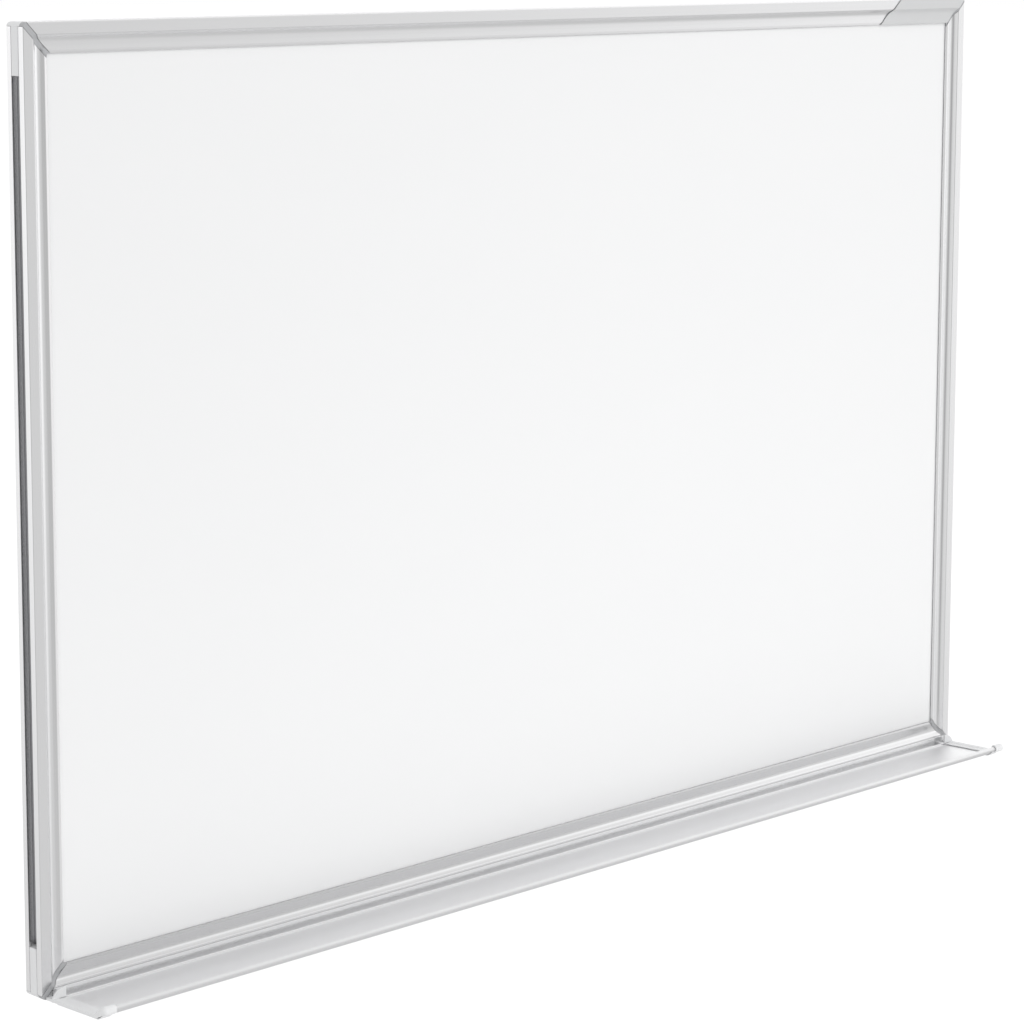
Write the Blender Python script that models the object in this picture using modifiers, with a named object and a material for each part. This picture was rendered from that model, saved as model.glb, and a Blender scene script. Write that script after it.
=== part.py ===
"""A wall-hung magnetic whiteboard: a steel-faced panel in a mitred aluminium frame, with a pen tray.

Metres, +Z up. The writing face looks along -Y and the wall is the plane y = 0. The origin is on the
rear face of the bottom frame member, in the middle of its width and of its rear band.
"""

import math

import bmesh
import bpy
from mathutils import Matrix, Vector

# Overall size of the frame, over its outer edges
BOARD_WIDTH = 0.900
BOARD_HEIGHT = 0.600

# Fits
CLEARANCE = 0.0003
GLUE_LINE = 0.0002
FLUSH_GAP = 0.0001
CUT_OVERRUN = 0.002
WELD_DISTANCE = 0.000001
ARC_STEP = math.radians(18)
FLAT_ANGLE = math.radians(0.1)
SMOOTH_ANGLE = math.radians(30)
ROUNDED_ANGLE = math.radians(60)

# Panel: lacquered steel on a core board, backed with a thin sheet
SHEET_THICKNESS = 0.0005
CORE_THICKNESS = 0.0058
BACK_THICKNESS = 0.0004

# Frame section, across the face from the outer edge inwards
OUTER_BAND = 0.0076
STEP_RUN = 0.00285
COVE_RUN = 0.00325
CREST_RUN = 0.0036
LIP_RUN = 0.0019

# Frame section, in depth from the front face
STEP_DROP = 0.00295
COVE_DROP = 0.00015
CREST_RISE = 0.0005
LIP_FALL = 0.0003
LIP_THICKNESS = 0.0010
REAR_LIP = 0.0012
HANG_CHANNEL = 0.0024
REAR_WALL = 0.0014
REAR_LIP_REACH = 0.0090
REAR_BAND = 0.0130
CHANNEL_WALL = 0.0012

# Accessory groove, open at the outer edge all round the frame
FRONT_WALL = 0.0016
FRONT_LIP_DEPTH = 0.0046
GROOVE_OPENING = 0.0078
GROOVE_LIP = 0.0020
GROOVE_CHAMBER = 0.0044
GROOVE_WEB = 0.0016

# Radii of the frame section
OUTER_EDGE_RADIUS = 0.0007
STEP_EDGE_RADIUS = 0.0009
STEP_FOOT_RADIUS = 0.0042
COVE_RADIUS = 0.0120
CREST_RADIUS = 0.0012
LIP_EDGE_RADIUS = 0.0003
GROOVE_EDGE_RADIUS = 0.0004

# Corner pieces, between the mitred ends of the members
CORNER_WEB = 0.0034
CORNER_RADIUS = 0.0037
CORNER_ARM_LENGTH = 0.032
SCREW_FROM_CORNER = 0.024

# Countersunk screws that hold the corner arms
SCREW_LENGTH = 0.0095
SCREW_RADIUS = 0.0015
SCREW_HEAD_RADIUS = 0.0027
SCREW_HEAD_HEIGHT = 0.0012
SCREW_TIP = 0.0015
SCREW_SIDES = 20

# Bare label plate on the top member, beside the right corner
LABEL_LENGTH = 0.0792
LABEL_SLANT = 0.0215
LABEL_THICKNESS = 0.0006

# Wall hangers: bent steel plates that hook into the rear channel of the top member
HANGER_FROM_SIDE = 0.150
HANGER_WIDTH = 0.040
HANGER_HEIGHT = 0.038
HANGER_THICKNESS = 0.0015
HANGER_CORNER_RADIUS = 0.004
HANGER_BEND_RADIUS = 0.0008
HANGER_BEND = math.radians(45)
TONGUE_WIDTH = 0.030
TONGUE_RADIUS = 0.002
HANGER_SLOT_LENGTH = 0.014
HANGER_SLOT_WIDTH = 0.0052
HANGER_SLOT_HEIGHT = 0.016

# Pen tray section, clipped over the front lip of the bottom groove
TRAY_REACH = 0.0560
TRAY_WALL = 0.0012
TRAY_PLATE_REACH = 0.0150
TRAY_FLANGE_HEIGHT = 0.0064
TRAY_FLANGE_ROOT = 0.0006
TRAY_OVERHANG = 0.0032
TRAY_CHANNEL = 0.0044
TRAY_LIP = 0.0013
TRAY_LIP_HEIGHT = 0.0023
TRAY_LIP_RADIUS = 0.0004
TRAY_FLOOR_HEIGHT = 0.0008
TRAY_FLOOR_LENGTH = 0.0425
TRAY_FLOOR_RISE = 0.0013
TRAY_HOOK = 0.0014
TRAY_HOOK_RISE = 0.0013
TRAY_BARB = 0.0015
TRAY_BARB_EDGE = 0.0006
TRAY_HOOK_PLAY = 0.0040
TRAY_INSET = 0.0080
BEAD_RADIUS = 0.0018
BEAD_HEIGHT = 0.0065
BEAD_START = math.radians(35)
BEAD_TURN = math.radians(250)
TRAY_BEND_RADIUS = 0.0045
TRAY_EDGE_RADIUS = 0.0003

# End caps of the tray
CAP_INSET = 0.0030
CAP_WIDTH = 0.0105
CAP_WALL = 0.0007
CAP_BODY_BOTTOM = 0.0001
CAP_EDGE_RADIUS = 0.0003
NUB_RADIUS = 0.0030
NUB_SIDES = 24
EAR_TOP = 0.0086
EAR_FRONT = 0.0072
EAR_THICKNESS = 0.0014
EAR_STEPS = 9

# Places that follow from the sizes above
STEP_START = OUTER_BAND
STEP_END = STEP_START + STEP_RUN
COVE_END = STEP_END + COVE_RUN
CREST_END = COVE_END + CREST_RUN
FACE_WIDTH = CREST_END + LIP_RUN
COVE_DEPTH = STEP_DROP + COVE_DROP
CREST_DEPTH = COVE_DEPTH - CREST_RISE
LIP_FRONT = CREST_DEPTH + LIP_FALL
SLOT_FRONT = LIP_FRONT + LIP_THICKNESS
PANEL_THICKNESS = SHEET_THICKNESS + CORE_THICKNESS + BACK_THICKNESS + 2 * GLUE_LINE
SLOT_REAR = SLOT_FRONT + PANEL_THICKNESS + 2 * CLEARANCE
CHANNEL_FRONT = SLOT_REAR + REAR_LIP
CHANNEL_REAR = CHANNEL_FRONT + HANG_CHANNEL
FRAME_DEPTH = CHANNEL_REAR + REAR_WALL
GROOVE_REAR = FRONT_LIP_DEPTH + GROOVE_OPENING
CHAMBER_END = GROOVE_LIP + GROOVE_CHAMBER
SLOT_FLOOR = CHAMBER_END + GROOVE_WEB
CHANNEL_FLOOR = CHAMBER_END + CHANNEL_WALL
SCREW_INSET = GROOVE_LIP + GROOVE_CHAMBER / 2
BOTTOM_EDGE = -REAR_BAND / 2
TOP_EDGE = BOTTOM_EDGE + BOARD_HEIGHT
MITRE_OFFSET = (CORNER_WEB / 2 + CLEARANCE) * math.sqrt(2)
WEB_OFFSET = CORNER_WEB / 2 * math.sqrt(2)
TRAY_TOP = -CLEARANCE
TRAY_BOTTOM = TRAY_TOP - TRAY_WALL
TRAY_END = BOARD_WIDTH / 2 - TRAY_INSET
FLANGE_FRONT = -CLEARANCE - TRAY_WALL
LIP_REAR = FLANGE_FRONT - TRAY_CHANNEL
FLOOR_START = LIP_REAR - TRAY_LIP
FLOOR_END = FLOOR_START - TRAY_FLOOR_LENGTH
FLOOR_FRONT_HEIGHT = TRAY_FLOOR_HEIGHT + TRAY_FLOOR_RISE
CAP_BODY = TRAY_INSET - CAP_INSET - CLEARANCE


def clear_scene():
    for item in list(bpy.data.objects):
        bpy.data.objects.remove(item, do_unlink=True)


def make_collection(name):
    collection = bpy.data.collections.new(name)
    bpy.context.scene.collection.children.link(collection)
    return collection


def make_material(name, colour, roughness, metallic):
    material = bpy.data.materials.new(name)
    material.use_nodes = True
    shader = material.node_tree.nodes["Principled BSDF"]
    shader.inputs["Base Color"].default_value = (*colour, 1)
    shader.inputs["Roughness"].default_value = roughness
    shader.inputs["Metallic"].default_value = metallic
    material.diffuse_color = (*colour, 1)
    return material


def axes(origin, x_axis, y_axis, z_axis):
    """The matrix that puts local x, y and z along the three world directions, from an origin."""
    columns = (Vector(x_axis), Vector(y_axis), Vector(z_axis), Vector(origin))
    matrix = Matrix.Identity(4)
    for index, column in enumerate(columns):
        for row in range(3):
            matrix[row][index] = column[row]
    return matrix


def arc(centre, radius, start, turn):
    """Points of an arc, from an angle and through a signed turn, both in radians."""
    steps = max(2, math.ceil(abs(turn) / ARC_STEP))
    angles = [start + turn * step / steps for step in range(steps + 1)]
    return [(centre[0] + radius * math.cos(a), centre[1] + radius * math.sin(a)) for a in angles]


def rounded(corners):
    """The outline through corners (x, y, radius), each rounded by an arc tangent to both its sides."""
    outline = []
    for index, (x, y, radius) in enumerate(corners):
        corner = Vector((x, y))
        if not radius:
            outline.append((x, y))
            continue
        before = (Vector(corners[index - 1][:2]) - corner).normalized()
        after = (Vector(corners[(index + 1) % len(corners)][:2]) - corner).normalized()
        half_angle = before.angle(after) / 2
        centre = corner + (before + after).normalized() * (radius / math.sin(half_angle))
        first = corner + before * (radius / math.tan(half_angle)) - centre
        last = corner + after * (radius / math.tan(half_angle)) - centre
        start = math.atan2(first.y, first.x)
        turn = math.atan2(first.cross(last), first.dot(last))
        outline.extend(arc(centre, radius, start, turn))
    return outline


def mesh_object(name, mesh, collection):
    item = bpy.data.objects.new(name, mesh)
    collection.objects.link(item)
    return item


def prism(name, outline, length, matrix, collection):
    """A closed outline in local x and y, extruded to both sides along local z, as a mesh in world space."""
    curve = bpy.data.curves.new(name, "CURVE")
    curve.dimensions = "2D"
    curve.fill_mode = "BOTH"
    curve.extrude = length / 2
    spline = curve.splines.new("POLY")
    spline.points.add(len(outline) - 1)
    for point, (x, y) in zip(spline.points, outline):
        point.co = (x, y, 0, 1)
    spline.use_cyclic_u = True
    guide = mesh_object(name + "_guide", curve, collection)
    graph = bpy.context.evaluated_depsgraph_get()
    mesh = bpy.data.meshes.new_from_object(guide.evaluated_get(graph))
    bpy.data.objects.remove(guide)
    mesh.transform(matrix)
    tidy(mesh)
    mesh.name = name
    return mesh_object(name, mesh, collection)


def tidy(mesh):
    """Weld the caps to the sides, make each flat side one face and turn every face outwards."""
    sculpt = bmesh.new()
    sculpt.from_mesh(mesh)
    bmesh.ops.remove_doubles(sculpt, verts=sculpt.verts, dist=WELD_DISTANCE)
    bmesh.ops.dissolve_limit(sculpt, angle_limit=FLAT_ANGLE, verts=sculpt.verts, edges=sculpt.edges)
    bmesh.ops.recalc_face_normals(sculpt, faces=sculpt.faces)
    sculpt.to_mesh(mesh)
    sculpt.free()


def boolean(item, other, operation):
    modifier = item.modifiers.new(other.name, "BOOLEAN")
    modifier.operation = operation
    modifier.object = other
    modifier.solver = "EXACT"
    modifier.use_self = True


def make_cutter(item):
    item.hide_render = True
    item.display_type = "WIRE"
    return item


def finish(item, material, origin):
    """Give a finished piece its material, smooth shading and an origin of its own."""
    item.data.transform(Matrix.Translation(-Vector(origin)))
    item.location = origin
    item.data.materials.clear()
    item.data.materials.append(material)
    item.data.shade_smooth()
    item.data.set_sharp_from_angle(angle=SMOOTH_ANGLE)
    return item


def face_corners():
    """The front of the frame section, from the outer edge to the lip: flat band, step, cove and crest."""
    return [
        (0, 0, OUTER_EDGE_RADIUS),
        (STEP_START, 0, STEP_EDGE_RADIUS),
        (STEP_END, STEP_DROP, STEP_FOOT_RADIUS),
        (COVE_END, COVE_DEPTH, COVE_RADIUS),
        (CREST_END, CREST_DEPTH, CREST_RADIUS),
        (FACE_WIDTH, LIP_FRONT, LIP_EDGE_RADIUS),
    ]


def inner_corners():
    """The inner side of the section: panel slot, rear lip and hanging channel, down to the rear band."""
    rear_lip_end = SLOT_FLOOR + REAR_LIP_REACH
    return [
        (FACE_WIDTH, SLOT_FRONT, 0),
        (SLOT_FLOOR, SLOT_FRONT, 0),
        (SLOT_FLOOR, SLOT_REAR, 0),
        (rear_lip_end, SLOT_REAR, 0),
        (rear_lip_end, CHANNEL_FRONT, 0),
        (CHANNEL_FLOOR, CHANNEL_FRONT, 0),
        (CHANNEL_FLOOR, CHANNEL_REAR, 0),
        (REAR_BAND, CHANNEL_REAR, 0),
        (REAR_BAND, FRAME_DEPTH, LIP_EDGE_RADIUS),
        (0, FRAME_DEPTH, OUTER_EDGE_RADIUS),
    ]


def groove_corners():
    """The accessory groove: an undercut chamber behind two lips."""
    chamber_rear = FRAME_DEPTH - REAR_WALL
    return [
        (0, GROOVE_REAR, GROOVE_EDGE_RADIUS),
        (GROOVE_LIP, GROOVE_REAR, GROOVE_EDGE_RADIUS),
        (GROOVE_LIP, chamber_rear, 0),
        (CHAMBER_END, chamber_rear, 0),
        (CHAMBER_END, FRONT_WALL, 0),
        (GROOVE_LIP, FRONT_WALL, 0),
        (GROOVE_LIP, FRONT_LIP_DEPTH, GROOVE_EDGE_RADIUS),
        (0, FRONT_LIP_DEPTH, GROOVE_EDGE_RADIUS),
    ]


def member_axes(side):
    """Local x runs inwards from the outer edge, y runs to the wall and z runs along the member."""
    front = -FRAME_DEPTH
    middle = BOTTOM_EDGE + BOARD_HEIGHT / 2
    if side == "bottom":
        return axes((0, front, BOTTOM_EDGE), (0, 0, 1), (0, 1, 0), (1, 0, 0))
    if side == "top":
        return axes((0, front, TOP_EDGE), (0, 0, -1), (0, 1, 0), (1, 0, 0))
    if side == "left":
        return axes((-BOARD_WIDTH / 2, front, middle), (1, 0, 0), (0, 1, 0), (0, 0, 1))
    return axes((BOARD_WIDTH / 2, front, middle), (-1, 0, 0), (0, 1, 0), (0, 0, 1))


def corner_axes(across, up):
    """Local x runs along the horizontal member from the corner, y along the vertical one, z to the wall."""
    edge = TOP_EDGE if up > 0 else BOTTOM_EDGE
    origin = (across * BOARD_WIDTH / 2, -FRAME_DEPTH / 2, edge)
    return axes(origin, (-across, 0, 0), (0, 0, -up), (0, 1, 0))


def corner_name(across, up):
    return ("top" if up > 0 else "bottom") + ("_right" if across > 0 else "_left")


def corner_prism(name, outline, corner, cutters):
    """A cutter that runs right through the frame from front to back, drawn in the corner's own plane."""
    depth = FRAME_DEPTH + 2 * CUT_OVERRUN
    return make_cutter(prism(name, outline, depth, corner_axes(*corner), cutters))


def mitre_cutters(corner, cutters):
    """Two wedges that end the horizontal and the vertical member beside the corner web."""
    name = corner_name(*corner)
    reach = FACE_WIDTH + CUT_OVERRUN
    low = -CUT_OVERRUN
    wedge = [(low, low), (MITRE_OFFSET + low, low), (MITRE_OFFSET + reach, reach), (low, reach)]
    turned = [(y, x) for x, y in wedge]
    return (
        corner_prism("mitre_across_" + name, wedge, corner, cutters),
        corner_prism("mitre_upright_" + name, turned, corner, cutters),
    )


def rounding_cutter(corner, cutters):
    """What lies outside the rounded outer corner. Its end facets run on past the frame's outer faces."""
    radius = CORNER_RADIUS
    low = -CUT_OVERRUN
    curve = [Vector(point) for point in arc((radius, radius), radius, -math.pi / 2, -math.pi / 2)]
    first = curve[0] + (curve[0] - curve[1]).normalized() * CUT_OVERRUN
    last = curve[-1] + (curve[-1] - curve[-2]).normalized() * CUT_OVERRUN
    outline = [(low, low), (first.x, low), first, *curve[1:-1], last, (low, last.y)]
    return corner_prism("rounding_" + corner_name(*corner), outline, corner, cutters)


def screw_mesh(name, spread, head_overrun):
    """A countersunk screw along -z from its head, turned from a profile; spread widens it for a bore."""
    radius = SCREW_RADIUS + spread
    profile = [
        (0, head_overrun),
        (SCREW_HEAD_RADIUS + spread, head_overrun),
        (SCREW_HEAD_RADIUS + spread, 0),
        (radius, -SCREW_HEAD_HEIGHT - spread),
        (radius, SCREW_TIP - SCREW_LENGTH),
        (0, -SCREW_LENGTH - spread),
    ]
    if not head_overrun:
        del profile[1]
    mesh = bpy.data.meshes.new(name)
    points = [(x, 0, z) for x, z in profile]
    mesh.from_pydata(points, [(i, i + 1) for i in range(len(points) - 1)], [])
    return mesh


def turn(item, sides):
    modifier = item.modifiers.new("Turned", "SCREW")
    modifier.steps = sides
    modifier.render_steps = sides
    modifier.use_merge_vertices = True
    modifier.merge_threshold = WELD_DISTANCE


def screw_places(corner):
    """Where the two screws of a corner sit on the rear face: one in each arm."""
    places = ((SCREW_FROM_CORNER, SCREW_INSET), (SCREW_INSET, SCREW_FROM_CORNER))
    for along, inwards in places:
        spot = corner_axes(*corner) @ Vector((along, inwards, 0))
        yield Vector((spot.x, -FLUSH_GAP, spot.z))


def make_screws(corner, steel, parts, cutters):
    """Both screws of a corner, and the bores they need."""
    bores = []
    facing_wall = Matrix.Rotation(-math.pi / 2, 4, "X")
    for number, spot in enumerate(screw_places(corner)):
        name = corner_name(*corner) + ("_across", "_upright")[number]
        screw = mesh_object("screw_" + name, screw_mesh("screw", 0, 0), parts)
        screw.data.materials.append(steel)
        bore = mesh_object("bore_" + name, screw_mesh("bore", FLUSH_GAP, CUT_OVERRUN), cutters)
        for item in (screw, make_cutter(bore)):
            item.location = spot
            item.rotation_euler = facing_wall.to_euler()
            turn(item, SCREW_SIDES)
        bores.append(bore)
    return bores


def make_member(side, corner_tools, material, parts):
    """One mitred length of the frame extrusion."""
    outline = rounded(face_corners() + inner_corners() + groove_corners())
    upright = side in ("left", "right")
    length = BOARD_HEIGHT if upright else BOARD_WIDTH
    matrix = member_axes(side)
    member = prism("frame_" + side, outline, length, matrix, parts)
    ends = [tools for corner, tools in corner_tools.items() if side in corner_name(*corner)]
    for tools in ends:
        boolean(member, tools["mitres"][int(upright)], "DIFFERENCE")
        boolean(member, tools["rounding"], "DIFFERENCE")
    for tools in ends:
        boolean(member, tools["bores"][int(upright)], "DIFFERENCE")
    return finish(member, material, matrix.to_translation())


def arm_outline():
    """The section of a corner arm: a head in the groove's chamber and a neck flush between its lips."""
    head_low = GROOVE_LIP + CLEARANCE
    head_high = CHAMBER_END - CLEARANCE
    head_front = FRONT_WALL + CLEARANCE
    head_rear = FRAME_DEPTH - REAR_WALL - CLEARANCE
    neck_front = FRONT_LIP_DEPTH + CLEARANCE
    neck_rear = GROOVE_REAR - CLEARANCE
    return rounded([
        (FLUSH_GAP, neck_front, GROOVE_EDGE_RADIUS),
        (head_low, neck_front, 0),
        (head_low, head_front, 0),
        (head_high, head_front, 0),
        (head_high, head_rear, 0),
        (head_low, head_rear, 0),
        (head_low, neck_rear, 0),
        (FLUSH_GAP, neck_rear, GROOVE_EDGE_RADIUS),
    ])


def make_corner(corner, tools, material, parts, cutters):
    """A moulded corner: a web that shows along the mitre, with an arm in the groove of each member."""
    across, up = corner
    name = corner_name(across, up)
    spot = corner_axes(across, up).to_translation()
    length = FACE_WIDTH + WEB_OFFSET + CUT_OVERRUN
    edge = Vector((spot.x, -FRAME_DEPTH, spot.z))
    directions = ((0, 0, -up), (0, 1, 0), (-across, 0, 0))
    web_middle = edge + Vector((-across * length / 2, 0, 0))
    web_outline = rounded(face_corners() + inner_corners())
    piece = prism("corner_" + name, web_outline, length, axes(web_middle, *directions), parts)

    reach = FACE_WIDTH + CUT_OVERRUN
    far = length + CUT_OVERRUN
    beyond = [
        (WEB_OFFSET - CUT_OVERRUN, -CUT_OVERRUN),
        (far, -CUT_OVERRUN),
        (far, reach),
        (WEB_OFFSET + reach, reach),
    ]
    boolean(piece, corner_prism("web_trim_" + name, beyond, corner, cutters), "DIFFERENCE")

    arm_start = GROOVE_LIP
    arm_length = CORNER_ARM_LENGTH - arm_start
    arm_middle = edge + Vector((-across * (arm_start + arm_length / 2), 0, 0))
    arm = prism("arm_" + name, arm_outline(), arm_length, axes(arm_middle, *directions), cutters)
    boolean(piece, make_cutter(arm), "UNION")

    diagonal = make_empty("diagonal_" + name, edge, cutters)
    diagonal.rotation_euler.y = math.atan2(-up, -across)
    mirror = piece.modifiers.new("Other half", "MIRROR")
    mirror.mirror_object = diagonal
    mirror.use_axis = (True, False, False)
    mirror.use_bisect_axis = (True, False, False)
    mirror.merge_threshold = WELD_DISTANCE
    mirror.bisect_threshold = WELD_DISTANCE

    boolean(piece, tools["rounding"], "DIFFERENCE")
    for bore in tools["bores"]:
        boolean(piece, bore, "DIFFERENCE")
    return finish(piece, material, edge)


def make_label_plate(tools, material, parts, cutters):
    """A bare plate laid over the face of the top member, slanted at one end and mitred at the other."""
    corner = (1, 1)
    outer = [(x, y - CLEARANCE - LABEL_THICKNESS, r) for x, y, r in face_corners()]
    inner = [(x, y - CLEARANCE, r) for x, y, r in reversed(face_corners())]
    outer[0] = (outer[0][0], outer[0][1], LIP_EDGE_RADIUS)
    inner[-1] = (inner[-1][0], inner[-1][1], 0)
    inner[0] = (inner[0][0], inner[0][1], 0)
    length = LABEL_LENGTH + LABEL_SLANT + 2 * CUT_OVERRUN
    middle = Vector((BOARD_WIDTH / 2 - length / 2, -FRAME_DEPTH, TOP_EDGE))
    matrix = axes(middle, (0, 0, -1), (0, 1, 0), (1, 0, 0))
    plate = prism("label_plate", rounded(outer + inner), length, matrix, parts)

    reach = FACE_WIDTH + CUT_OVERRUN
    low = -CUT_OVERRUN
    far = length + CUT_OVERRUN
    slope = LABEL_SLANT / FACE_WIDTH
    start = LABEL_LENGTH + slope * low
    stop = LABEL_LENGTH + slope * reach
    slanted = [(start, low), (far, low), (far, reach), (stop, reach)]
    mitred = [(low, low), (low, reach), (reach, reach)]
    boolean(plate, corner_prism("label_slant", slanted, corner, cutters), "DIFFERENCE")
    boolean(plate, corner_prism("label_mitre", mitred, corner, cutters), "DIFFERENCE")
    boolean(plate, tools["rounding"], "DIFFERENCE")
    return finish(plate, material, middle)


def make_panel(materials, parts):
    """Three flat layers, glued, that stand in the slot of the frame."""
    width = BOARD_WIDTH - 2 * (SLOT_FLOOR + CLEARANCE)
    height = BOARD_HEIGHT - 2 * (SLOT_FLOOR + CLEARANCE)
    middle = BOTTOM_EDGE + BOARD_HEIGHT / 2
    layers = (
        ("writing_sheet", SHEET_THICKNESS, materials["sheet"]),
        ("core_board", CORE_THICKNESS, materials["core"]),
        ("rear_sheet", BACK_THICKNESS, materials["zinc"]),
    )
    front = SLOT_FRONT + CLEARANCE - FRAME_DEPTH
    for name, thickness, material in layers:
        bpy.ops.mesh.primitive_cube_add(size=1)
        layer = bpy.context.object
        for collection in layer.users_collection:
            collection.objects.unlink(layer)
        parts.objects.link(layer)
        layer.name = name
        layer.data.transform(Matrix.Diagonal((width, thickness, height, 1)))
        layer.location = (0, front + thickness / 2, middle)
        layer.data.materials.append(material)
        front += thickness + GLUE_LINE


def bead_centre():
    return (-TRAY_REACH, BEAD_HEIGHT)


def bead_points():
    """The rolled front edge: an arc over the top and round to the underside."""
    return [(x, y, 0) for x, y in arc(bead_centre(), BEAD_RADIUS, BEAD_START, BEAD_TURN)]


def tray_front_corners():
    """The tray's outline from the lip behind the floor, over the bead and back to the under plate's end."""
    under = TRAY_FLOOR_HEIGHT - TRAY_WALL
    return [
        (LIP_REAR, TRAY_LIP_HEIGHT, TRAY_LIP_RADIUS),
        (FLOOR_START, TRAY_LIP_HEIGHT, TRAY_LIP_RADIUS),
        (FLOOR_START, TRAY_FLOOR_HEIGHT, TRAY_EDGE_RADIUS),
        (FLOOR_END, FLOOR_FRONT_HEIGHT, TRAY_BEND_RADIUS),
        *bead_points(),
        (FLOOR_END - TRAY_WALL, FLOOR_FRONT_HEIGHT - TRAY_WALL, TRAY_BEND_RADIUS),
        (FLOOR_START + TRAY_BOTTOM - under, under, TRAY_EDGE_RADIUS),
        (FLOOR_START, TRAY_BOTTOM, TRAY_EDGE_RADIUS),
        (TRAY_PLATE_REACH, TRAY_BOTTOM, TRAY_EDGE_RADIUS),
        (TRAY_PLATE_REACH, TRAY_TOP, TRAY_EDGE_RADIUS),
    ]


def tray_outline():
    """The tray section, in depth from the frame's front face and in height from its bottom edge."""
    hook_front = FRONT_LIP_DEPTH + CLEARANCE
    hook_rear = hook_front + TRAY_HOOK
    barb_under = GROOVE_LIP + CLEARANCE
    barb_top = barb_under + TRAY_HOOK_RISE
    hook = [
        (hook_rear, TRAY_TOP, TRAY_EDGE_RADIUS),
        (hook_rear, barb_top, TRAY_EDGE_RADIUS),
        (hook_front, barb_top, TRAY_EDGE_RADIUS),
        (hook_front - TRAY_BARB, barb_under + TRAY_BARB_EDGE, 0),
        (hook_front - TRAY_BARB, barb_under, 0),
        (hook_front, barb_under, 0),
        (hook_front, TRAY_TOP, 0),
    ]
    root = -CLEARANCE - TRAY_FLANGE_ROOT
    flange = [
        (-CLEARANCE, TRAY_TOP, 0),
        (-CLEARANCE, TRAY_FLANGE_HEIGHT, TRAY_EDGE_RADIUS),
        (FLANGE_FRONT, TRAY_FLANGE_HEIGHT, TRAY_EDGE_RADIUS),
        (FLANGE_FRONT, TRAY_OVERHANG, TRAY_EDGE_RADIUS),
        (root, TRAY_OVERHANG, TRAY_EDGE_RADIUS),
        (root, TRAY_TOP, TRAY_EDGE_RADIUS),
        (LIP_REAR, TRAY_TOP, TRAY_EDGE_RADIUS),
    ]
    return rounded(hook + flange + tray_front_corners())


def grown(outline, distance):
    """The outline moved outwards by a distance, with mitred corners; the outline runs either way round."""
    points = [Vector(point) for point in outline]
    area = sum(a.cross(b) for a, b in zip(points, points[1:] + points[:1]))
    side = 1 if area > 0 else -1
    moved = []
    for index, point in enumerate(points):
        before = (point - points[index - 1]).normalized()
        after = (points[(index + 1) % len(points)] - point).normalized()
        normals = [Vector((d.y, -d.x)) * side for d in (before, after)]
        middle = (normals[0] + normals[1]).normalized()
        moved.append(tuple(point + middle * distance / middle.dot(normals[0])))
    return moved


def tray_axes(x_position):
    """Local x is depth from the frame's front, y is height from its bottom edge, z is along the tray."""
    return axes((x_position, -FRAME_DEPTH, BOTTOM_EDGE), (0, 1, 0), (0, 0, 1), (1, 0, 0))


def box_cutter(name, low, high, cutters):
    outline = [(low[1], low[2]), (high[1], low[2]), (high[1], high[2]), (low[1], high[2])]
    matrix = tray_axes((low[0] + high[0]) / 2)
    return make_cutter(prism(name, outline, high[0] - low[0], matrix, cutters))


def make_tray(material, parts, cutters):
    """The tray extrusion, its hook milled back at both ends for the corner arms."""
    tray = prism("pen_tray", tray_outline(), 2 * TRAY_END, tray_axes(0), parts)
    outer = TRAY_END + CUT_OVERRUN
    hook_end = BOARD_WIDTH / 2 - CORNER_ARM_LENGTH - CLEARANCE - TRAY_HOOK_PLAY
    hook_top = GROOVE_LIP + CLEARANCE + TRAY_HOOK_RISE + CUT_OVERRUN
    for side, name in ((-1, "left"), (1, "right")):
        near, far = sorted((side * hook_end, side * outer))
        low = (near, 0, TRAY_TOP)
        high = (far, TRAY_PLATE_REACH, hook_top)
        boolean(tray, box_cutter("hook_end_" + name, low, high, cutters), "DIFFERENCE")
    return finish(tray, material, (0, -FRAME_DEPTH, BOTTOM_EDGE))


def cap_outline(rear, bottom, spread):
    """The cap from the side: a thin plate that turns up to the nub. Spread makes it thicker all round."""
    top = TRAY_FLOOR_HEIGHT + CLEARANCE + CAP_WALL + spread
    half_reach = NUB_RADIUS / 2 + spread
    nub_x, nub_z = bead_centre()
    return rounded([
        (rear, bottom, 0),
        (rear, top, 0),
        (FLOOR_END, top + TRAY_FLOOR_RISE, TRAY_BEND_RADIUS),
        (nub_x + NUB_RADIUS / 2, nub_z + half_reach, 0),
        (nub_x - half_reach / 2, nub_z - half_reach, 0),
        (FLOOR_END - TRAY_WALL, bottom + TRAY_FLOOR_RISE, TRAY_BEND_RADIUS),
    ])


def ear_outline():
    """A quarter round, from the cap's outer face inwards and upwards."""
    angles = [math.pi / 2 * step / EAR_STEPS for step in range(EAR_STEPS + 1)]
    width = CAP_WIDTH - FLUSH_GAP
    curve = [(width * (1 - math.cos(a)), EAR_TOP * math.sin(a)) for a in angles]
    return [*curve, (width, 0)]


def socket_outline():
    """The tray's front half with room around it; only its wide bends stay round."""
    corners = [(LIP_REAR, TRAY_TOP, 0), *tray_front_corners()]
    return grown(rounded([(x, y, r if r > NUB_RADIUS else 0) for x, y, r in corners]), CLEARANCE)


def round_edges(item, width):
    modifier = item.modifiers.new("Rounded edges", "BEVEL")
    modifier.width = width
    modifier.segments = 2
    modifier.limit_method = "ANGLE"
    modifier.angle_limit = ROUNDED_ANGLE
    return item


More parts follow.
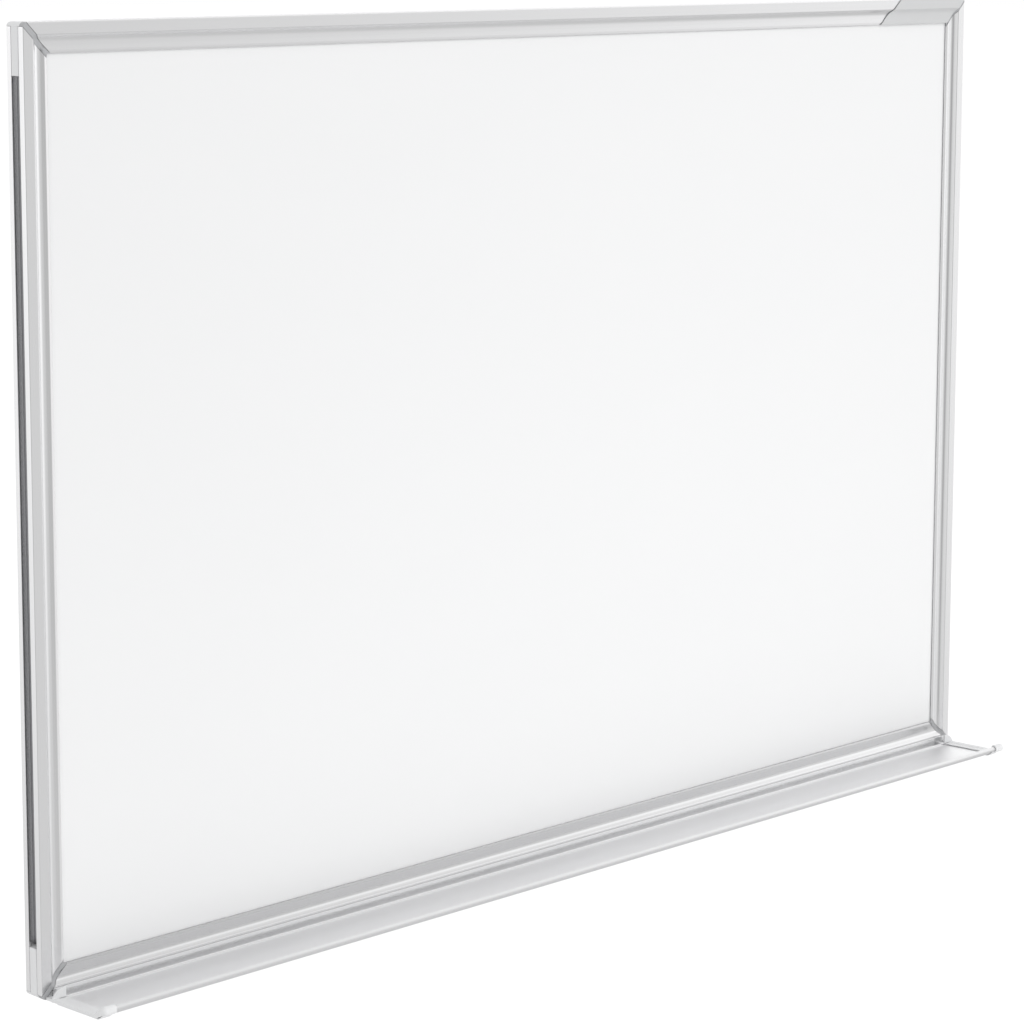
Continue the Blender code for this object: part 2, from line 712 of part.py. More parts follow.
def make_nub(name, side, outer_face, cutters):
    """The nub on the end of the bead, turned from a profile: a dome outside and a flat end inside."""
    dome = arc((0, -NUB_RADIUS), NUB_RADIUS, math.pi / 2, -math.pi / 2)
    end = CLEARANCE - CAP_WIDTH
    profile = [(x, 0, y) for x, y in dome] + [(NUB_RADIUS, 0, end), (0, 0, end)]
    mesh = bpy.data.meshes.new(name)
    mesh.from_pydata(profile, [(i, i + 1) for i in range(len(profile) - 1)], [])
    nub = mesh_object(name, mesh, cutters)
    nub.location = tray_axes(outer_face) @ Vector((*bead_centre(), 0))
    nub.rotation_euler.y = side * math.pi / 2
    turn(nub, NUB_SIDES)
    return nub


def make_cap(side, material, parts, cutters):
    """A moulded end cap: a body beside the tray, a sleeve round its floor, a nub on its bead and an ear."""
    name = "left" if side < 0 else "right"
    outer_face = side * (BOARD_WIDTH / 2 - CAP_INSET)

    def length_of(start, stop):
        return {"length": stop - start, "matrix": tray_axes(outer_face - side * (start + stop) / 2)}

    body = prism("tray_cap_" + name, cap_outline(-CLEARANCE, CAP_BODY_BOTTOM, FLUSH_GAP),
                 **length_of(0, CAP_BODY), collection=parts)
    round_edges(body, CAP_EDGE_RADIUS)
    under = TRAY_FLOOR_HEIGHT - TRAY_WALL - CLEARANCE - CAP_WALL
    sleeve = prism("sleeve_" + name, cap_outline(LIP_REAR, under, 0), **length_of(CAP_BODY / 2, CAP_WIDTH),
                   collection=cutters)
    nub = make_nub("nub_" + name, side, outer_face, cutters)

    ear_middle = -FRAME_DEPTH - EAR_FRONT + EAR_THICKNESS / 2
    ear_axes = axes((outer_face, ear_middle, BOTTOM_EDGE), (-side, 0, 0), (0, 0, 1), (0, 1, 0))
    ear = prism("ear_" + name, ear_outline(), EAR_THICKNESS, ear_axes, cutters)
    round_edges(ear, CAP_EDGE_RADIUS)
    for addition in (sleeve, nub, ear):
        boolean(body, make_cutter(addition), "UNION")

    socket = prism("socket_" + name, socket_outline(), **length_of(CAP_BODY, CAP_WIDTH + CUT_OVERRUN),
                   collection=cutters)
    boolean(body, make_cutter(socket), "DIFFERENCE")
    return finish(body, material, (outer_face, -FRAME_DEPTH, BOTTOM_EDGE))


def make_hanger(side, material, parts, cutters):
    """A stamped and bent plate: its tongue stands in the channel and its body lies on the wall."""
    name = "hanger_left" if side < 0 else "hanger_right"
    x_position = side * (BOARD_WIDTH / 2 - HANGER_FROM_SIDE)
    tongue_tip = CHANNEL_FLOOR + CLEARANCE
    tongue_rear = CHANNEL_REAR - (HANG_CHANNEL - HANGER_THICKNESS) / 2
    tongue_front = tongue_rear - HANGER_THICKNESS
    body_front = FRAME_DEPTH - HANGER_THICKNESS
    joggle = FRAME_DEPTH - tongue_rear
    bend = REAR_BAND + 2 * CLEARANCE
    lead = HANGER_THICKNESS * math.tan(HANGER_BEND / 2)
    foot = tongue_tip + HANGER_HEIGHT
    side_outline = rounded([
        (tongue_tip, tongue_front, 0),
        (bend + lead, tongue_front, HANGER_BEND_RADIUS),
        (bend + lead + joggle, body_front, HANGER_BEND_RADIUS),
        (foot, body_front, 0),
        (foot, FRAME_DEPTH, 0),
        (bend + joggle, FRAME_DEPTH, HANGER_BEND_RADIUS),
        (bend, tongue_rear, HANGER_BEND_RADIUS),
        (tongue_tip, tongue_rear, 0),
    ])
    top = (x_position, -FRAME_DEPTH, TOP_EDGE)
    matrix = axes(top, (0, 0, -1), (0, 1, 0), (1, 0, 0))
    hanger = prism(name, side_outline, HANGER_WIDTH, matrix, parts)

    half = HANGER_WIDTH / 2
    half_tongue = TONGUE_WIDTH / 2
    shoulder = bend + joggle / 2
    blank_outline = rounded([
        (-half_tongue, tongue_tip, TONGUE_RADIUS),
        (half_tongue, tongue_tip, TONGUE_RADIUS),
        (half_tongue, shoulder, TONGUE_RADIUS / 2),
        (half, shoulder, TONGUE_RADIUS),
        (half, foot, HANGER_CORNER_RADIUS),
        (-half, foot, HANGER_CORNER_RADIUS),
        (-half, shoulder, TONGUE_RADIUS),
        (-half_tongue, shoulder, TONGUE_RADIUS / 2),
    ])
    front_matrix = axes((x_position, -FRAME_DEPTH / 2, TOP_EDGE), (1, 0, 0), (0, 0, -1), (0, 1, 0))
    depth = FRAME_DEPTH + 2 * CUT_OVERRUN
    blank = prism("blank_" + name, blank_outline, depth, front_matrix, cutters)
    boolean(hanger, make_cutter(blank), "INTERSECT")

    slot_reach = (HANGER_SLOT_LENGTH - HANGER_SLOT_WIDTH) / 2
    radius = HANGER_SLOT_WIDTH / 2
    slot_height = foot - HANGER_SLOT_HEIGHT
    slot_outline = arc((slot_reach, slot_height), radius, -math.pi / 2, math.pi)
    slot_outline += arc((-slot_reach, slot_height), radius, math.pi / 2, math.pi)
    slot = prism("slot_" + name, slot_outline, depth, front_matrix, cutters)
    boolean(hanger, make_cutter(slot), "DIFFERENCE")
    return finish(hanger, material, (x_position, 0, TOP_EDGE - tongue_tip))


def make_empty(name, location, collection):
    empty = bpy.data.objects.new(name, None)
    empty.location = location
    collection.objects.link(empty)
    return empty


def attach(children, empty):
    bpy.context.view_layer.update()
    for child in children:
        child.parent = empty
        child.matrix_parent_inverse = empty.matrix_world.inverted()


def build():
    clear_scene()
    parts = make_collection("magnetic_whiteboard")
    cutters = make_collection("cutters")
    aluminium = make_material("anodised_aluminium", (0.68, 0.68, 0.69), 0.34, 1.0)
    plastic = make_material("light_grey_plastic", (0.74, 0.74, 0.75), 0.42, 0.0)
    zinc = make_material("zinc_plated_steel", (0.55, 0.56, 0.58), 0.40, 1.0)
    layers = {
        "sheet": make_material("white_lacquer", (0.90, 0.90, 0.90), 0.22, 0.0),
        "core": make_material("core_board", (0.42, 0.33, 0.24), 0.85, 0.0),
        "zinc": zinc,
    }

    corner_tools = {}
    for corner in ((-1, -1), (1, -1), (-1, 1), (1, 1)):
        corner_tools[corner] = {
            "mitres": mitre_cutters(corner, cutters),
            "rounding": rounding_cutter(corner, cutters),
            "bores": make_screws(corner, zinc, parts, cutters),
        }
    for side in ("bottom", "top", "left", "right"):
        make_member(side, corner_tools, aluminium, parts)
    for corner, tools in corner_tools.items():
        make_corner(corner, tools, plastic, parts, cutters)
    make_label_plate(corner_tools[(1, 1)], plastic, parts, cutters)
    make_panel(layers, parts)

    tray = make_tray(aluminium, parts, cutters)
    caps = [make_cap(side, plastic, parts, cutters) for side in (-1, 1)]
    attach([tray, *caps], make_empty("tray_slide", tray.location, parts))
    for side in (-1, 1):
        hanger = make_hanger(side, zinc, parts, cutters)
        attach([hanger], make_empty(hanger.name + "_slide", hanger.location, parts))


build()
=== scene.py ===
# %% [markdown]
# # A magnetic whiteboard, dressed for a studio picture
#
# The object is a white steel panel in a frame of aluminium extrusion, with light plastic corners, a
# pen tray clipped along the bottom and two steel hangers behind. The solids come ready from the
# CAD model: this lesson gives them their finishes, makes the rounded pieces again with finer
# surfaces and sets the camera, the lamps and the floor. Everything is in metres: the wall is the
# plane y = 0, the writing face looks along -Y and +Z is up.

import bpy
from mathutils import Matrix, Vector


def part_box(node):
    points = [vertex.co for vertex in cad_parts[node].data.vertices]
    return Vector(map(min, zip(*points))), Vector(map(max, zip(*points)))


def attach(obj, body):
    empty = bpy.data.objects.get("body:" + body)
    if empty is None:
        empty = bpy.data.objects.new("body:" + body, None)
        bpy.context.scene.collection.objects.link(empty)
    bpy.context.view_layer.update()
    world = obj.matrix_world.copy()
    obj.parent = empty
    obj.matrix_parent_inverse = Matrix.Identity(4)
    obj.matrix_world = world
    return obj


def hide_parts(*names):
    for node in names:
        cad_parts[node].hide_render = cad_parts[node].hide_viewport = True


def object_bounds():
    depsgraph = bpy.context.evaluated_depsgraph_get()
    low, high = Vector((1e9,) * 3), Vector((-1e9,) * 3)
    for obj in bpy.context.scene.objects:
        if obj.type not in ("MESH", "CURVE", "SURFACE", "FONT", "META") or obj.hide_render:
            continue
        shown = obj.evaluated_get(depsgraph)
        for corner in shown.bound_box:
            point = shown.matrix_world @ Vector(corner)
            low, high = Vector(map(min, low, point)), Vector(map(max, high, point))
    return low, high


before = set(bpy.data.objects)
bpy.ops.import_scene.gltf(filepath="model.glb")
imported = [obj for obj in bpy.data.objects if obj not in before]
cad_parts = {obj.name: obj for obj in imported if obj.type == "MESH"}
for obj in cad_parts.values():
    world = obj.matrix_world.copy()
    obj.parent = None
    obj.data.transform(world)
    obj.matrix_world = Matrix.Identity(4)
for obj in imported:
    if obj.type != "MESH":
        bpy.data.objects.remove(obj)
cad_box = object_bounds()

# %% [markdown]
# ## Tools for the lesson
#
# numpy works out whole surfaces at once.

# %% Imports and units
import math

import bmesh
import bpy
import numpy as np
from mathutils import Matrix, Vector

MM = 0.001

# %% [markdown]
# ## Shader maths that reads like maths
#
# A material is a graph of nodes, and sums are hard to read as nodes. Here a small class wraps a
# socket and overloads the operators, so that `1 - mask * 0.3` adds its Math nodes by itself. Every
# other node comes from one method: it takes the node's type, its settings, and what goes into its
# sockets.

# %% Socket and recipe classes
class Level:
    """A number that changes over a surface. An operator adds a Math node and gives a new Level."""

    def __init__(self, recipe, socket):
        self.recipe = recipe
        self.socket = socket

    def math(self, operation, *values):
        sockets = dict(enumerate(values))
        return self.recipe.level("ShaderNodeMath", {"operation": operation}, sockets)

    def __add__(self, other):
        return self.math("ADD", self, other)

    def __sub__(self, other):
        return self.math("SUBTRACT", self, other)

    def __rsub__(self, other):
        return self.math("SUBTRACT", other, self)

    def __mul__(self, other):
        return self.math("MULTIPLY", self, other)

    def __gt__(self, other):
        return self.math("GREATER_THAN", self, other)

    def __lt__(self, other):
        return self.math("LESS_THAN", self, other)

    def __abs__(self):
        return self.math("ABSOLUTE", self)

    def above(self, other):
        return self.math("MAXIMUM", self, other)

    def below(self, other):
        return self.math("MINIMUM", self, other)

    def between(self, low, high):
        """1 where the level lies between two values, 0 elsewhere."""
        return (self > low) * (self < high)

    __radd__ = __add__
    __rmul__ = __mul__


class Recipe:
    """The node tree of one finish or of the surroundings."""

    def __init__(self, owner):
        owner.use_nodes = True
        self.tree = owner.node_tree
        self.tree.nodes.clear()

    def add(self, kind, settings=(), sockets=()):
        """A node of a type: its settings first, then a value or a link for each socket."""
        node = self.tree.nodes.new(kind)
        for name, value in dict(settings).items():
            setattr(node, name, value)
        for name, value in dict(sockets).items():
            self.join(node.inputs[name], value)
        return node

    def join(self, socket, value):
        if isinstance(value, Level):
            value = value.socket
        if isinstance(value, bpy.types.NodeSocket):
            self.tree.links.new(value, socket)
        else:
            socket.default_value = value

    def level(self, kind, settings=(), sockets=(), output=0):
        return Level(self, self.add(kind, settings, sockets).outputs[output])

    def vector(self, operation, *values):
        settings = {"operation": operation}
        return self.add("ShaderNodeVectorMath", settings, dict(enumerate(values))).outputs[0]

    def mix_colours(self, share, first, second):
        """A colour between two others: socket 0 is the share, 6 and 7 are the colours."""
        settings = {"data_type": "RGBA"}
        sockets = {0: share, 6: first, 7: second}
        return self.add("ShaderNodeMix", settings, sockets).outputs[2]


print("the shader classes are ready")

# %% [markdown]
# ## What every finish starts from
#
# Each finish reads Object coordinates, so a pattern has a real scale in metres and stays on its
# piece. A Noise node stretched along one axis makes the faint lines of an extrusion, and an even
# one makes mould texture or orange peel.

# %% Helpers for finishes
def places(recipe, stretch=(1, 1, 1)):
    """Object coordinates, multiplied along each axis: a small number stretches the pattern."""
    coordinates = recipe.add("ShaderNodeTexCoord").outputs["Object"]
    return recipe.vector("MULTIPLY", coordinates, stretch)


def spot_of(recipe):
    """X, Y and Z of the place on the piece, each as a Level."""
    coordinates = recipe.add("ShaderNodeTexCoord").outputs["Object"]
    apart = recipe.add("ShaderNodeSeparateXYZ", (), {"Vector": coordinates})
    return [Level(recipe, output) for output in apart.outputs]


def noise(recipe, vector, per_metre, detail=2.0):
    """Noise from 0 to 1 with about this many waves to the metre."""
    sockets = {"Vector": vector, "Scale": per_metre, "Detail": detail}
    return recipe.level("ShaderNodeTexNoise", (), sockets)


def bump(recipe, height, depth):
    """A normal that tilts as if the surface rose by depth metres where height goes from 0 to 1."""
    sockets = {"Strength": 1.0, "Distance": depth, "Height": height}
    return recipe.add("ShaderNodeBump", (), sockets).outputs["Normal"]


def finish(name, **sockets):
    """A material with one Principled shader. Its sockets are given by name, _ for a space."""
    material = bpy.data.materials.new(name)
    recipe = Recipe(material)
    shader = recipe.add("ShaderNodeBsdfPrincipled")
    recipe.add("ShaderNodeOutputMaterial", (), {"Surface": shader.outputs[0]})
    for key, value in sockets.items():
        recipe.join(shader.inputs[key.replace("_", " ")], value)
    return material, recipe, shader


print("the finish helpers are ready")

# %% [markdown]
# ## Where the frame is darker
#
# Two parts of the frame are toned darker than the rest, because they look so in the photograph:
# this is painted shade. Two parts of the frame are toned darker than the rest, because they look so
# in the photograph: the inner wall of the accessory groove, and the ledge under the writing face,
# where a thin grey film of marker dust is a guess. It lies on the inner wall of the accessory
# groove, a recess, and on the ledge under the writing face, which the tray shades. They could be
# painted as a picture, but a test on the place needs no unwrapping and has a real size in metres:
# it gives 1 inside and 0 outside.

# %% Masks on the frame
# The frame's outer edges, as the solids have them
BOTTOM_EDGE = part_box("frame_bottom")[0][2]
TOP_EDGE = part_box("frame_top")[1][2]
HALF_WIDTH = cad_box[1][0]
HALF_HEIGHT = (TOP_EDGE - BOTTOM_EDGE) / 2
MIDDLE_HEIGHT = (TOP_EDGE + BOTTOM_EDGE) / 2
# The groove's inner wall, where shade is painted: how far in from the outside it lies, and between
# which depths
INNER_WALL = (0.0061, 0.0070)
GROOVE_DEPTH = (-0.0155, -0.0010)
# The tray's floor lies in front of its gutter
TRAY_FLOOR_REAR = -0.0238
# The ledge above the step of the bottom member, and the painted shade on it, where the tray shades
# it
LEDGE_START, LEDGE_END, LEDGE_REAR = 0.0035, 0.0200, -0.0120
LEDGE_SHADE_EDGE, LEDGE_SHADE_SHARE = 0.00125, 0.4


def groove_shade_mask(recipe, direction):
    """1 on the inner wall of the accessory groove, where shade is painted: it lies a fixed way in
    from the outside.
    """
    across, depth, height = spot_of(recipe)
    if direction == "X":
        inwards = HALF_HEIGHT - abs(height - MIDDLE_HEIGHT)
    else:
        inwards = HALF_WIDTH - abs(across)
    return inwards.between(*INNER_WALL) * depth.between(*GROOVE_DEPTH)


def shade_on_ledge(recipe):
    """The painted shade's share of the colour in front, above the step of the bottom member. It
    starts
    softly: it grows from 0 to all of the share within the width of its edge."""
    across, depth, height = spot_of(recipe)
    above_step = ((height - LEDGE_START) * (1 / LEDGE_SHADE_EDGE)).above(0).below(1)
    return above_step * (height < LEDGE_END) * (depth < LEDGE_REAR) * LEDGE_SHADE_SHARE


def on_tray_floor(recipe):
    return spot_of(recipe)[1] < TRAY_FLOOR_REAR


print("the frame is", round(2 * HALF_WIDTH, 4), "m wide,", round(2 * HALF_HEIGHT, 4), "m high")

# %% [markdown]
# ## Anodised aluminium
#
# The frame and the tray are extrusions: etched, then clear anodised. Etching leaves an even satin,
# and the die leaves faint lines along the length. One finish per direction keeps the lines along
# each member, because a pattern on Object coordinates doesn't turn with the piece. The tray's own
# finish is paler, and pens and erasers have rubbed its floor matt.

# %% Aluminium finishes
ALUMINIUM = ((0.84, 0.84, 0.845, 1), (0.80, 0.80, 0.808, 1))
TRAY_ALUMINIUM = ((0.91, 0.91, 0.915, 1), (0.87, 0.87, 0.878, 1))
# Painted shade: the groove's inner wall is darkened as if in shadow, though its metal is the same
GROOVE_PAINTED_SHADE = (0.40, 0.40, 0.41, 1)
# Painted shade on the bottom member's ledge, under the tray
LEDGE_SHADE = (0.42, 0.42, 0.43, 1)
LINES_ALONG, LINES_ACROSS = 0.6, 900
DIE_LINES = {
    "X": (LINES_ALONG, LINES_ACROSS, LINES_ACROSS),
    "Z": (LINES_ACROSS, LINES_ACROSS, LINES_ALONG),
}
CLOUDS, ETCH_PITS = 9.0, 2600.0
LINE_SHADE, CLOUD_SHADE = 0.6, 0.4
SATIN, LINE_ROUGHNESS, ETCH_ROUGHNESS, WORN_ROUGHNESS = 0.20, 0.05, 0.03, 0.20
LINE_HEIGHT, PIT_HEIGHT, METAL_RELIEF = 0.7, 0.3, 0.000006


def aluminium(name, direction, shades, worn_floor=False):
    material, recipe, shader = finish(name, Metallic=1.0)
    lines = noise(recipe, places(recipe, DIE_LINES[direction]), 1.0, detail=3.0)
    cloud = noise(recipe, places(recipe), CLOUDS)
    etch = noise(recipe, places(recipe), ETCH_PITS, detail=1.0)
    shade_share = (lines * LINE_SHADE + cloud * CLOUD_SHADE).below(1.0)
    colour = recipe.mix_colours(shade_share, *shades)
    roughness = SATIN + lines * LINE_ROUGHNESS + etch * ETCH_ROUGHNESS
    if worn_floor:
        roughness = roughness + on_tray_floor(recipe) * WORN_ROUGHNESS
    else:
        # painted shade inside the groove
        colour = recipe.mix_colours(groove_shade_mask(recipe, direction), colour, GROOVE_PAINTED_SHADE)
        if direction == "X":
            # painted shade on the ledge above the step
            colour = recipe.mix_colours(shade_on_ledge(recipe), colour, LEDGE_SHADE)
    relief = lines * LINE_HEIGHT + etch * PIT_HEIGHT
    recipe.join(shader.inputs["Base Color"], colour)
    recipe.join(shader.inputs["Roughness"], roughness)
    recipe.join(shader.inputs["Normal"], bump(recipe, relief, METAL_RELIEF))
    return material


aluminium_across = aluminium("anodised_frame_across", "X", ALUMINIUM)
aluminium_upright = aluminium("anodised_frame_upright", "Z", ALUMINIUM)
aluminium_tray = aluminium("anodised_tray", "X", TRAY_ALUMINIUM, worn_floor=True)
print("aluminium:", aluminium_across.name, aluminium_upright.name, aluminium_tray.name)

# %% [markdown]
# ## Moulded plastic
#
# The corners, the caps of the tray and the plate on the top member are light grey mouldings. A
# spark-eroded mould leaves a fine even grain, so the shine is soft, and the colour is almost even.
# The web that shows along each mitre gets painted shade: it is toned darker, nearer to the metal,
# than the arms of the same piece.

# %% Plastic finishes
CAP_GREY = ((0.84, 0.845, 0.85, 1), (0.80, 0.805, 0.815, 1))
LABEL_GREY = ((0.64, 0.645, 0.65, 1), (0.61, 0.615, 0.62, 1))
# Painted shade: the front of the webs is darker than the arms of the same moulding
WEB_PAINTED_SHADE = (0.44, 0.445, 0.455, 1)
WEB_SHADE_FRONT = -0.0128
MOULD_GRAINS, MOULD_FLOW = 2200.0, 30.0
MOULD_ROUGHNESS, GRAIN_ROUGHNESS = 0.36, 0.14
MOULD_RELIEF = 0.00002


def plastic(name, shades, shade_front=None):
    """Moulded plastic in two close shades. In front of shade_front, along Y, it has the webs'
    painted shade.
    """
    material, recipe, shader = finish(name)
    grain = noise(recipe, places(recipe), MOULD_GRAINS)
    flow = noise(recipe, places(recipe), MOULD_FLOW)
    colour = recipe.mix_colours(flow, *shades)
    if shade_front is not None:
        # painted shade on the front of the webs
        colour = recipe.mix_colours(spot_of(recipe)[1] < shade_front, colour, WEB_PAINTED_SHADE)
    recipe.join(shader.inputs["Base Color"], colour)
    recipe.join(shader.inputs["Roughness"], MOULD_ROUGHNESS + grain * GRAIN_ROUGHNESS)
    recipe.join(shader.inputs["Normal"], bump(recipe, grain, MOULD_RELIEF))
    return material


cap_plastic = plastic("moulded_cap_grey", CAP_GREY)
corner_plastic = plastic("moulded_corner_grey", CAP_GREY, WEB_SHADE_FRONT)
label_plastic = plastic("label_plate_grey", LABEL_GREY)
print("plastic:", cap_plastic.name, corner_plastic.name, label_plastic.name)

# %% [markdown]
# ## White lacquer
#
# The writing face is steel with a baked white lacquer that a dry marker wipes off. It is nearly
# flat: only a slow orange peel moves the reflections a little, and wiping leaves wide, very faint
# patches. The patches are a noise that is longer sideways, the way a hand wipes.

# %% Lacquer finish
LACQUER = (0.885, 0.887, 0.89, 1)
LACQUER_SHADE = (0.872, 0.875, 0.88, 1)
PEEL, WIPES = 160.0, 6.0
WIPE_STRETCH = (1, 1, 2.5)
LACQUER_ROUGHNESS, WIPE_ROUGHNESS = 0.29, 0.04
PEEL_RELIEF = 0.00001


def lacquer():
    material, recipe, shader = finish("white_marker_lacquer", Coat_IOR=1.5)
    peel = noise(recipe, places(recipe), PEEL)
    wiped = noise(recipe, places(recipe, WIPE_STRETCH), WIPES, detail=3.0)
    colour = recipe.mix_colours(wiped, LACQUER, LACQUER_SHADE)
    recipe.join(shader.inputs["Base Color"], colour)
    recipe.join(shader.inputs["Roughness"], LACQUER_ROUGHNESS + wiped * WIPE_ROUGHNESS)
    recipe.join(shader.inputs["Normal"], bump(recipe, peel, PEEL_RELIEF))
    return material


white_lacquer = lacquer()
print("lacquer:", white_lacquer.name)

# %% [markdown]
# ## Zinc
#
# The back of the panel is hot-dip galvanised sheet, whose crystals show as flat patches, each with
# its own shade. A Voronoi texture gives such cells, and a little noise added to the places bends
# their straight borders. The hangers and the screws are plated instead, which leaves an even,
# slightly blue shine.

# %% Zinc finishes
ZINC = (0.60, 0.615, 0.64, 1)
ZINC_SHADE = (0.47, 0.485, 0.51, 1)
CRYSTALS, BENDS, BEND_REACH = 110.0, 90.0, 0.006
ROLLING = (300, 300, 6)
DULL_SPOTS = 120.0
SHEET_ROUGHNESS, PATCH_ROUGHNESS = 0.34, 0.16
PLATING_ROUGHNESS, DULL_ROUGHNESS, ROLLED_ROUGHNESS = 0.30, 0.12, 0.05
ZINC_RELIEF = 0.00001


def galvanised():
    material, recipe, shader = finish("galvanised_sheet", Metallic=1.0)
    warp = recipe.add("ShaderNodeTexNoise", (), {"Vector": places(recipe), "Scale": BENDS})
    bent = recipe.vector("MULTIPLY_ADD", warp.outputs["Color"], (BEND_REACH,) * 3, places(recipe))
    cells = recipe.add("ShaderNodeTexVoronoi", (), {"Vector": bent, "Scale": CRYSTALS})
    patch = recipe.level("ShaderNodeSeparateXYZ", (), {"Vector": cells.outputs["Color"]})
    recipe.join(shader.inputs["Base Color"], recipe.mix_colours(patch, ZINC, ZINC_SHADE))
    recipe.join(shader.inputs["Roughness"], SHEET_ROUGHNESS + patch * PATCH_ROUGHNESS)
    recipe.join(shader.inputs["Normal"], bump(recipe, patch, ZINC_RELIEF))
    return material


def plated():
    material, recipe, shader = finish("zinc_plating", Metallic=1.0)
    rolled = noise(recipe, places(recipe, ROLLING), 1.0, detail=3.0)
    dull = noise(recipe, places(recipe), DULL_SPOTS, detail=3.0)
    roughness = PLATING_ROUGHNESS + dull * DULL_ROUGHNESS + rolled * ROLLED_ROUGHNESS
    recipe.join(shader.inputs["Base Color"], recipe.mix_colours(dull, ZINC, ZINC_SHADE))
    recipe.join(shader.inputs["Roughness"], roughness)
    recipe.join(shader.inputs["Normal"], bump(recipe, rolled, ZINC_RELIEF))
    return material


zinc_sheet = galvanised()
zinc_plating = plated()
print("zinc:", zinc_sheet.name, zinc_plating.name)

# %% [markdown]
# ## Fibreboard
#
# The core of the panel is hidden, but it is a real piece: pressed fibres with darker flecks. The
# fibres lie flat in the board, so the noise is squeezed through its thickness.

# %% Core finish
FIBRE = (0.50, 0.38, 0.26, 1)
FIBRE_SHADE = (0.34, 0.25, 0.17, 1)
FIBRES, FIBRE_SQUEEZE = 500.0, (1, 4, 1)
FIBRE_ROUGHNESS, FLECK_ROUGHNESS = 0.78, 0.15
FIBRE_RELIEF = 0.0001


def fibreboard():
    material, recipe, shader = finish("pressed_fibreboard")
    fibres = noise(recipe, places(recipe, FIBRE_SQUEEZE), FIBRES, detail=4.0)
    recipe.join(shader.inputs["Base Color"], recipe.mix_colours(fibres, FIBRE, FIBRE_SHADE))
    recipe.join(shader.inputs["Roughness"], FIBRE_ROUGHNESS + fibres * FLECK_ROUGHNESS)
    recipe.join(shader.inputs["Normal"], bump(recipe, fibres, FIBRE_RELIEF))
    return material


core_fibre = fibreboard()
print("core:", core_fibre.name)

# %% [markdown]
# ## Dress the solids
#
# A solid whose shape is right stays as it is and only gets its finish. The first word of a node's
# name says what it is made of.

# %% Finish of each node
FINISHES = {
    "frame_top": aluminium_across, "frame_bottom": aluminium_across,
    "frame_left": aluminium_upright, "frame_right": aluminium_upright,
    "pen_tray": aluminium_tray, "tray_cap": cap_plastic,
    "corner": corner_plastic, "label_plate": label_plastic,
    "writing_sheet": white_lacquer, "core_board": core_fibre, "rear_sheet": zinc_sheet,
    "screw": zinc_plating, "hanger": zinc_plating,
}


def by_start(table, name):
    """The table's value for the first key that the name starts with."""
    return next(value for start, value in table.items() if name.startswith(start))


for name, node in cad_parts.items():
    node.data.materials.clear()
    node.data.materials.append(by_start(FINISHES, name))
print("dressed:", len(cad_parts))

# %% [markdown]
# ## Outlines from arrays
#
# Every new piece is a grid of points worked out at once with numpy: one direction runs round an
# outline, the other along the piece. The points could be typed in, but then an edge could not be
# rounded again. Lengths are in millimetres until the mesh is made.

# %% Outline helpers
NO_LENGTH = 1e-12
SAME_PLACE = 1e-7
SHARPEST = 0.3


def unit(vectors):
    """Each vector divided by its own length."""
    return vectors / np.maximum(np.linalg.norm(vectors, axis=-1, keepdims=True), NO_LENGTH)


def rounded_outline(corners, steps=9):
    """The outline through corners (x, y, radius), each an arc that touches both of its sides.

    The arc's centre lies on the bisector, radius / sin(half the angle) away from the corner. The
    arc runs from one touching point to the other, and points that fall together are kept once.
    """
    corners = np.asarray(corners, float)
    spot, radius = corners[:, :2], corners[:, 2:]
    before = unit(np.roll(spot, 1, axis=0) - spot)
    after = unit(np.roll(spot, -1, axis=0) - spot)
    half = np.arccos(np.clip((before * after).sum(axis=1, keepdims=True), -1, 1)) / 2
    centre = spot + unit(before + after) * radius / np.sin(half)
    first = spot + before * radius / np.tan(half) - centre
    last = spot + after * radius / np.tan(half) - centre
    start = np.arctan2(first[:, 1:], first[:, :1])
    crossed = first[:, :1] * last[:, 1:] - first[:, 1:] * last[:, :1]
    turn = np.arctan2(crossed, (first * last).sum(axis=1, keepdims=True))
    angle = start + turn * np.linspace(0, 1, steps)
    arcs = radius[:, None] * np.stack([np.cos(angle), np.sin(angle)], axis=-1)
    points = (centre[:, None] + arcs).reshape(-1, 2)
    return points[np.linalg.norm(points - np.roll(points, 1, axis=0), axis=1) > SAME_PLACE]


def grown(outline, distance):
    """The outline moved outwards by a distance: each point along its two sides' middle normal.

    The way along that normal is the distance divided by the cosine between it and a side's own
    normal, with a limit where a corner is very sharp.
    """
    before = unit(outline - np.roll(outline, 1, axis=0))
    after = np.roll(before, -1, axis=0)
    shifted = np.roll(outline, -1, axis=0)
    area = (outline[:, 0] * shifted[:, 1] - outline[:, 1] * shifted[:, 0]).sum()
    outwards = np.sign(area) * np.array([1, -1])
    middle = unit(before + after)[:, ::-1] * outwards
    side = before[:, ::-1] * outwards
    cosine = (middle * side).sum(axis=1, keepdims=True)
    return outline + middle * distance / np.maximum(cosine, SHARPEST)


square = [(0, 0, 1), (9, 0, 1), (9, 9, 1), (0, 9, 1)]
print("a square with round corners has", len(rounded_outline(square)), "points")

# %% [markdown]
# ## From outlines to closed shells
#
# An outline carried along X is a prism, and a profile turned round X is a round piece. Both are
# grids of rings whose faces join each ring to the next, so one function numbers the faces of all.
# A modifier could round a prism's ends, but here each end is a few rings that shrink on a quarter
# circle, which keeps the rims even.

# %% Shell helpers
def tube_faces(sections, around, closed_ends=True):
    """Faces of a grid that closes round its outline, with one face over each end."""
    row = np.arange(sections - 1)[:, None] * around
    near = np.arange(around)[None, :]
    far = (near + 1) % around
    quads = np.stack([row + near, row + far, row + around + far, row + around + near], axis=-1)
    faces = quads.reshape(-1, 4).tolist()
    if closed_ends:
        faces.append(np.arange(around)[::-1].tolist())
        faces.append((np.arange(around) + (sections - 1) * around).tolist())
    return faces


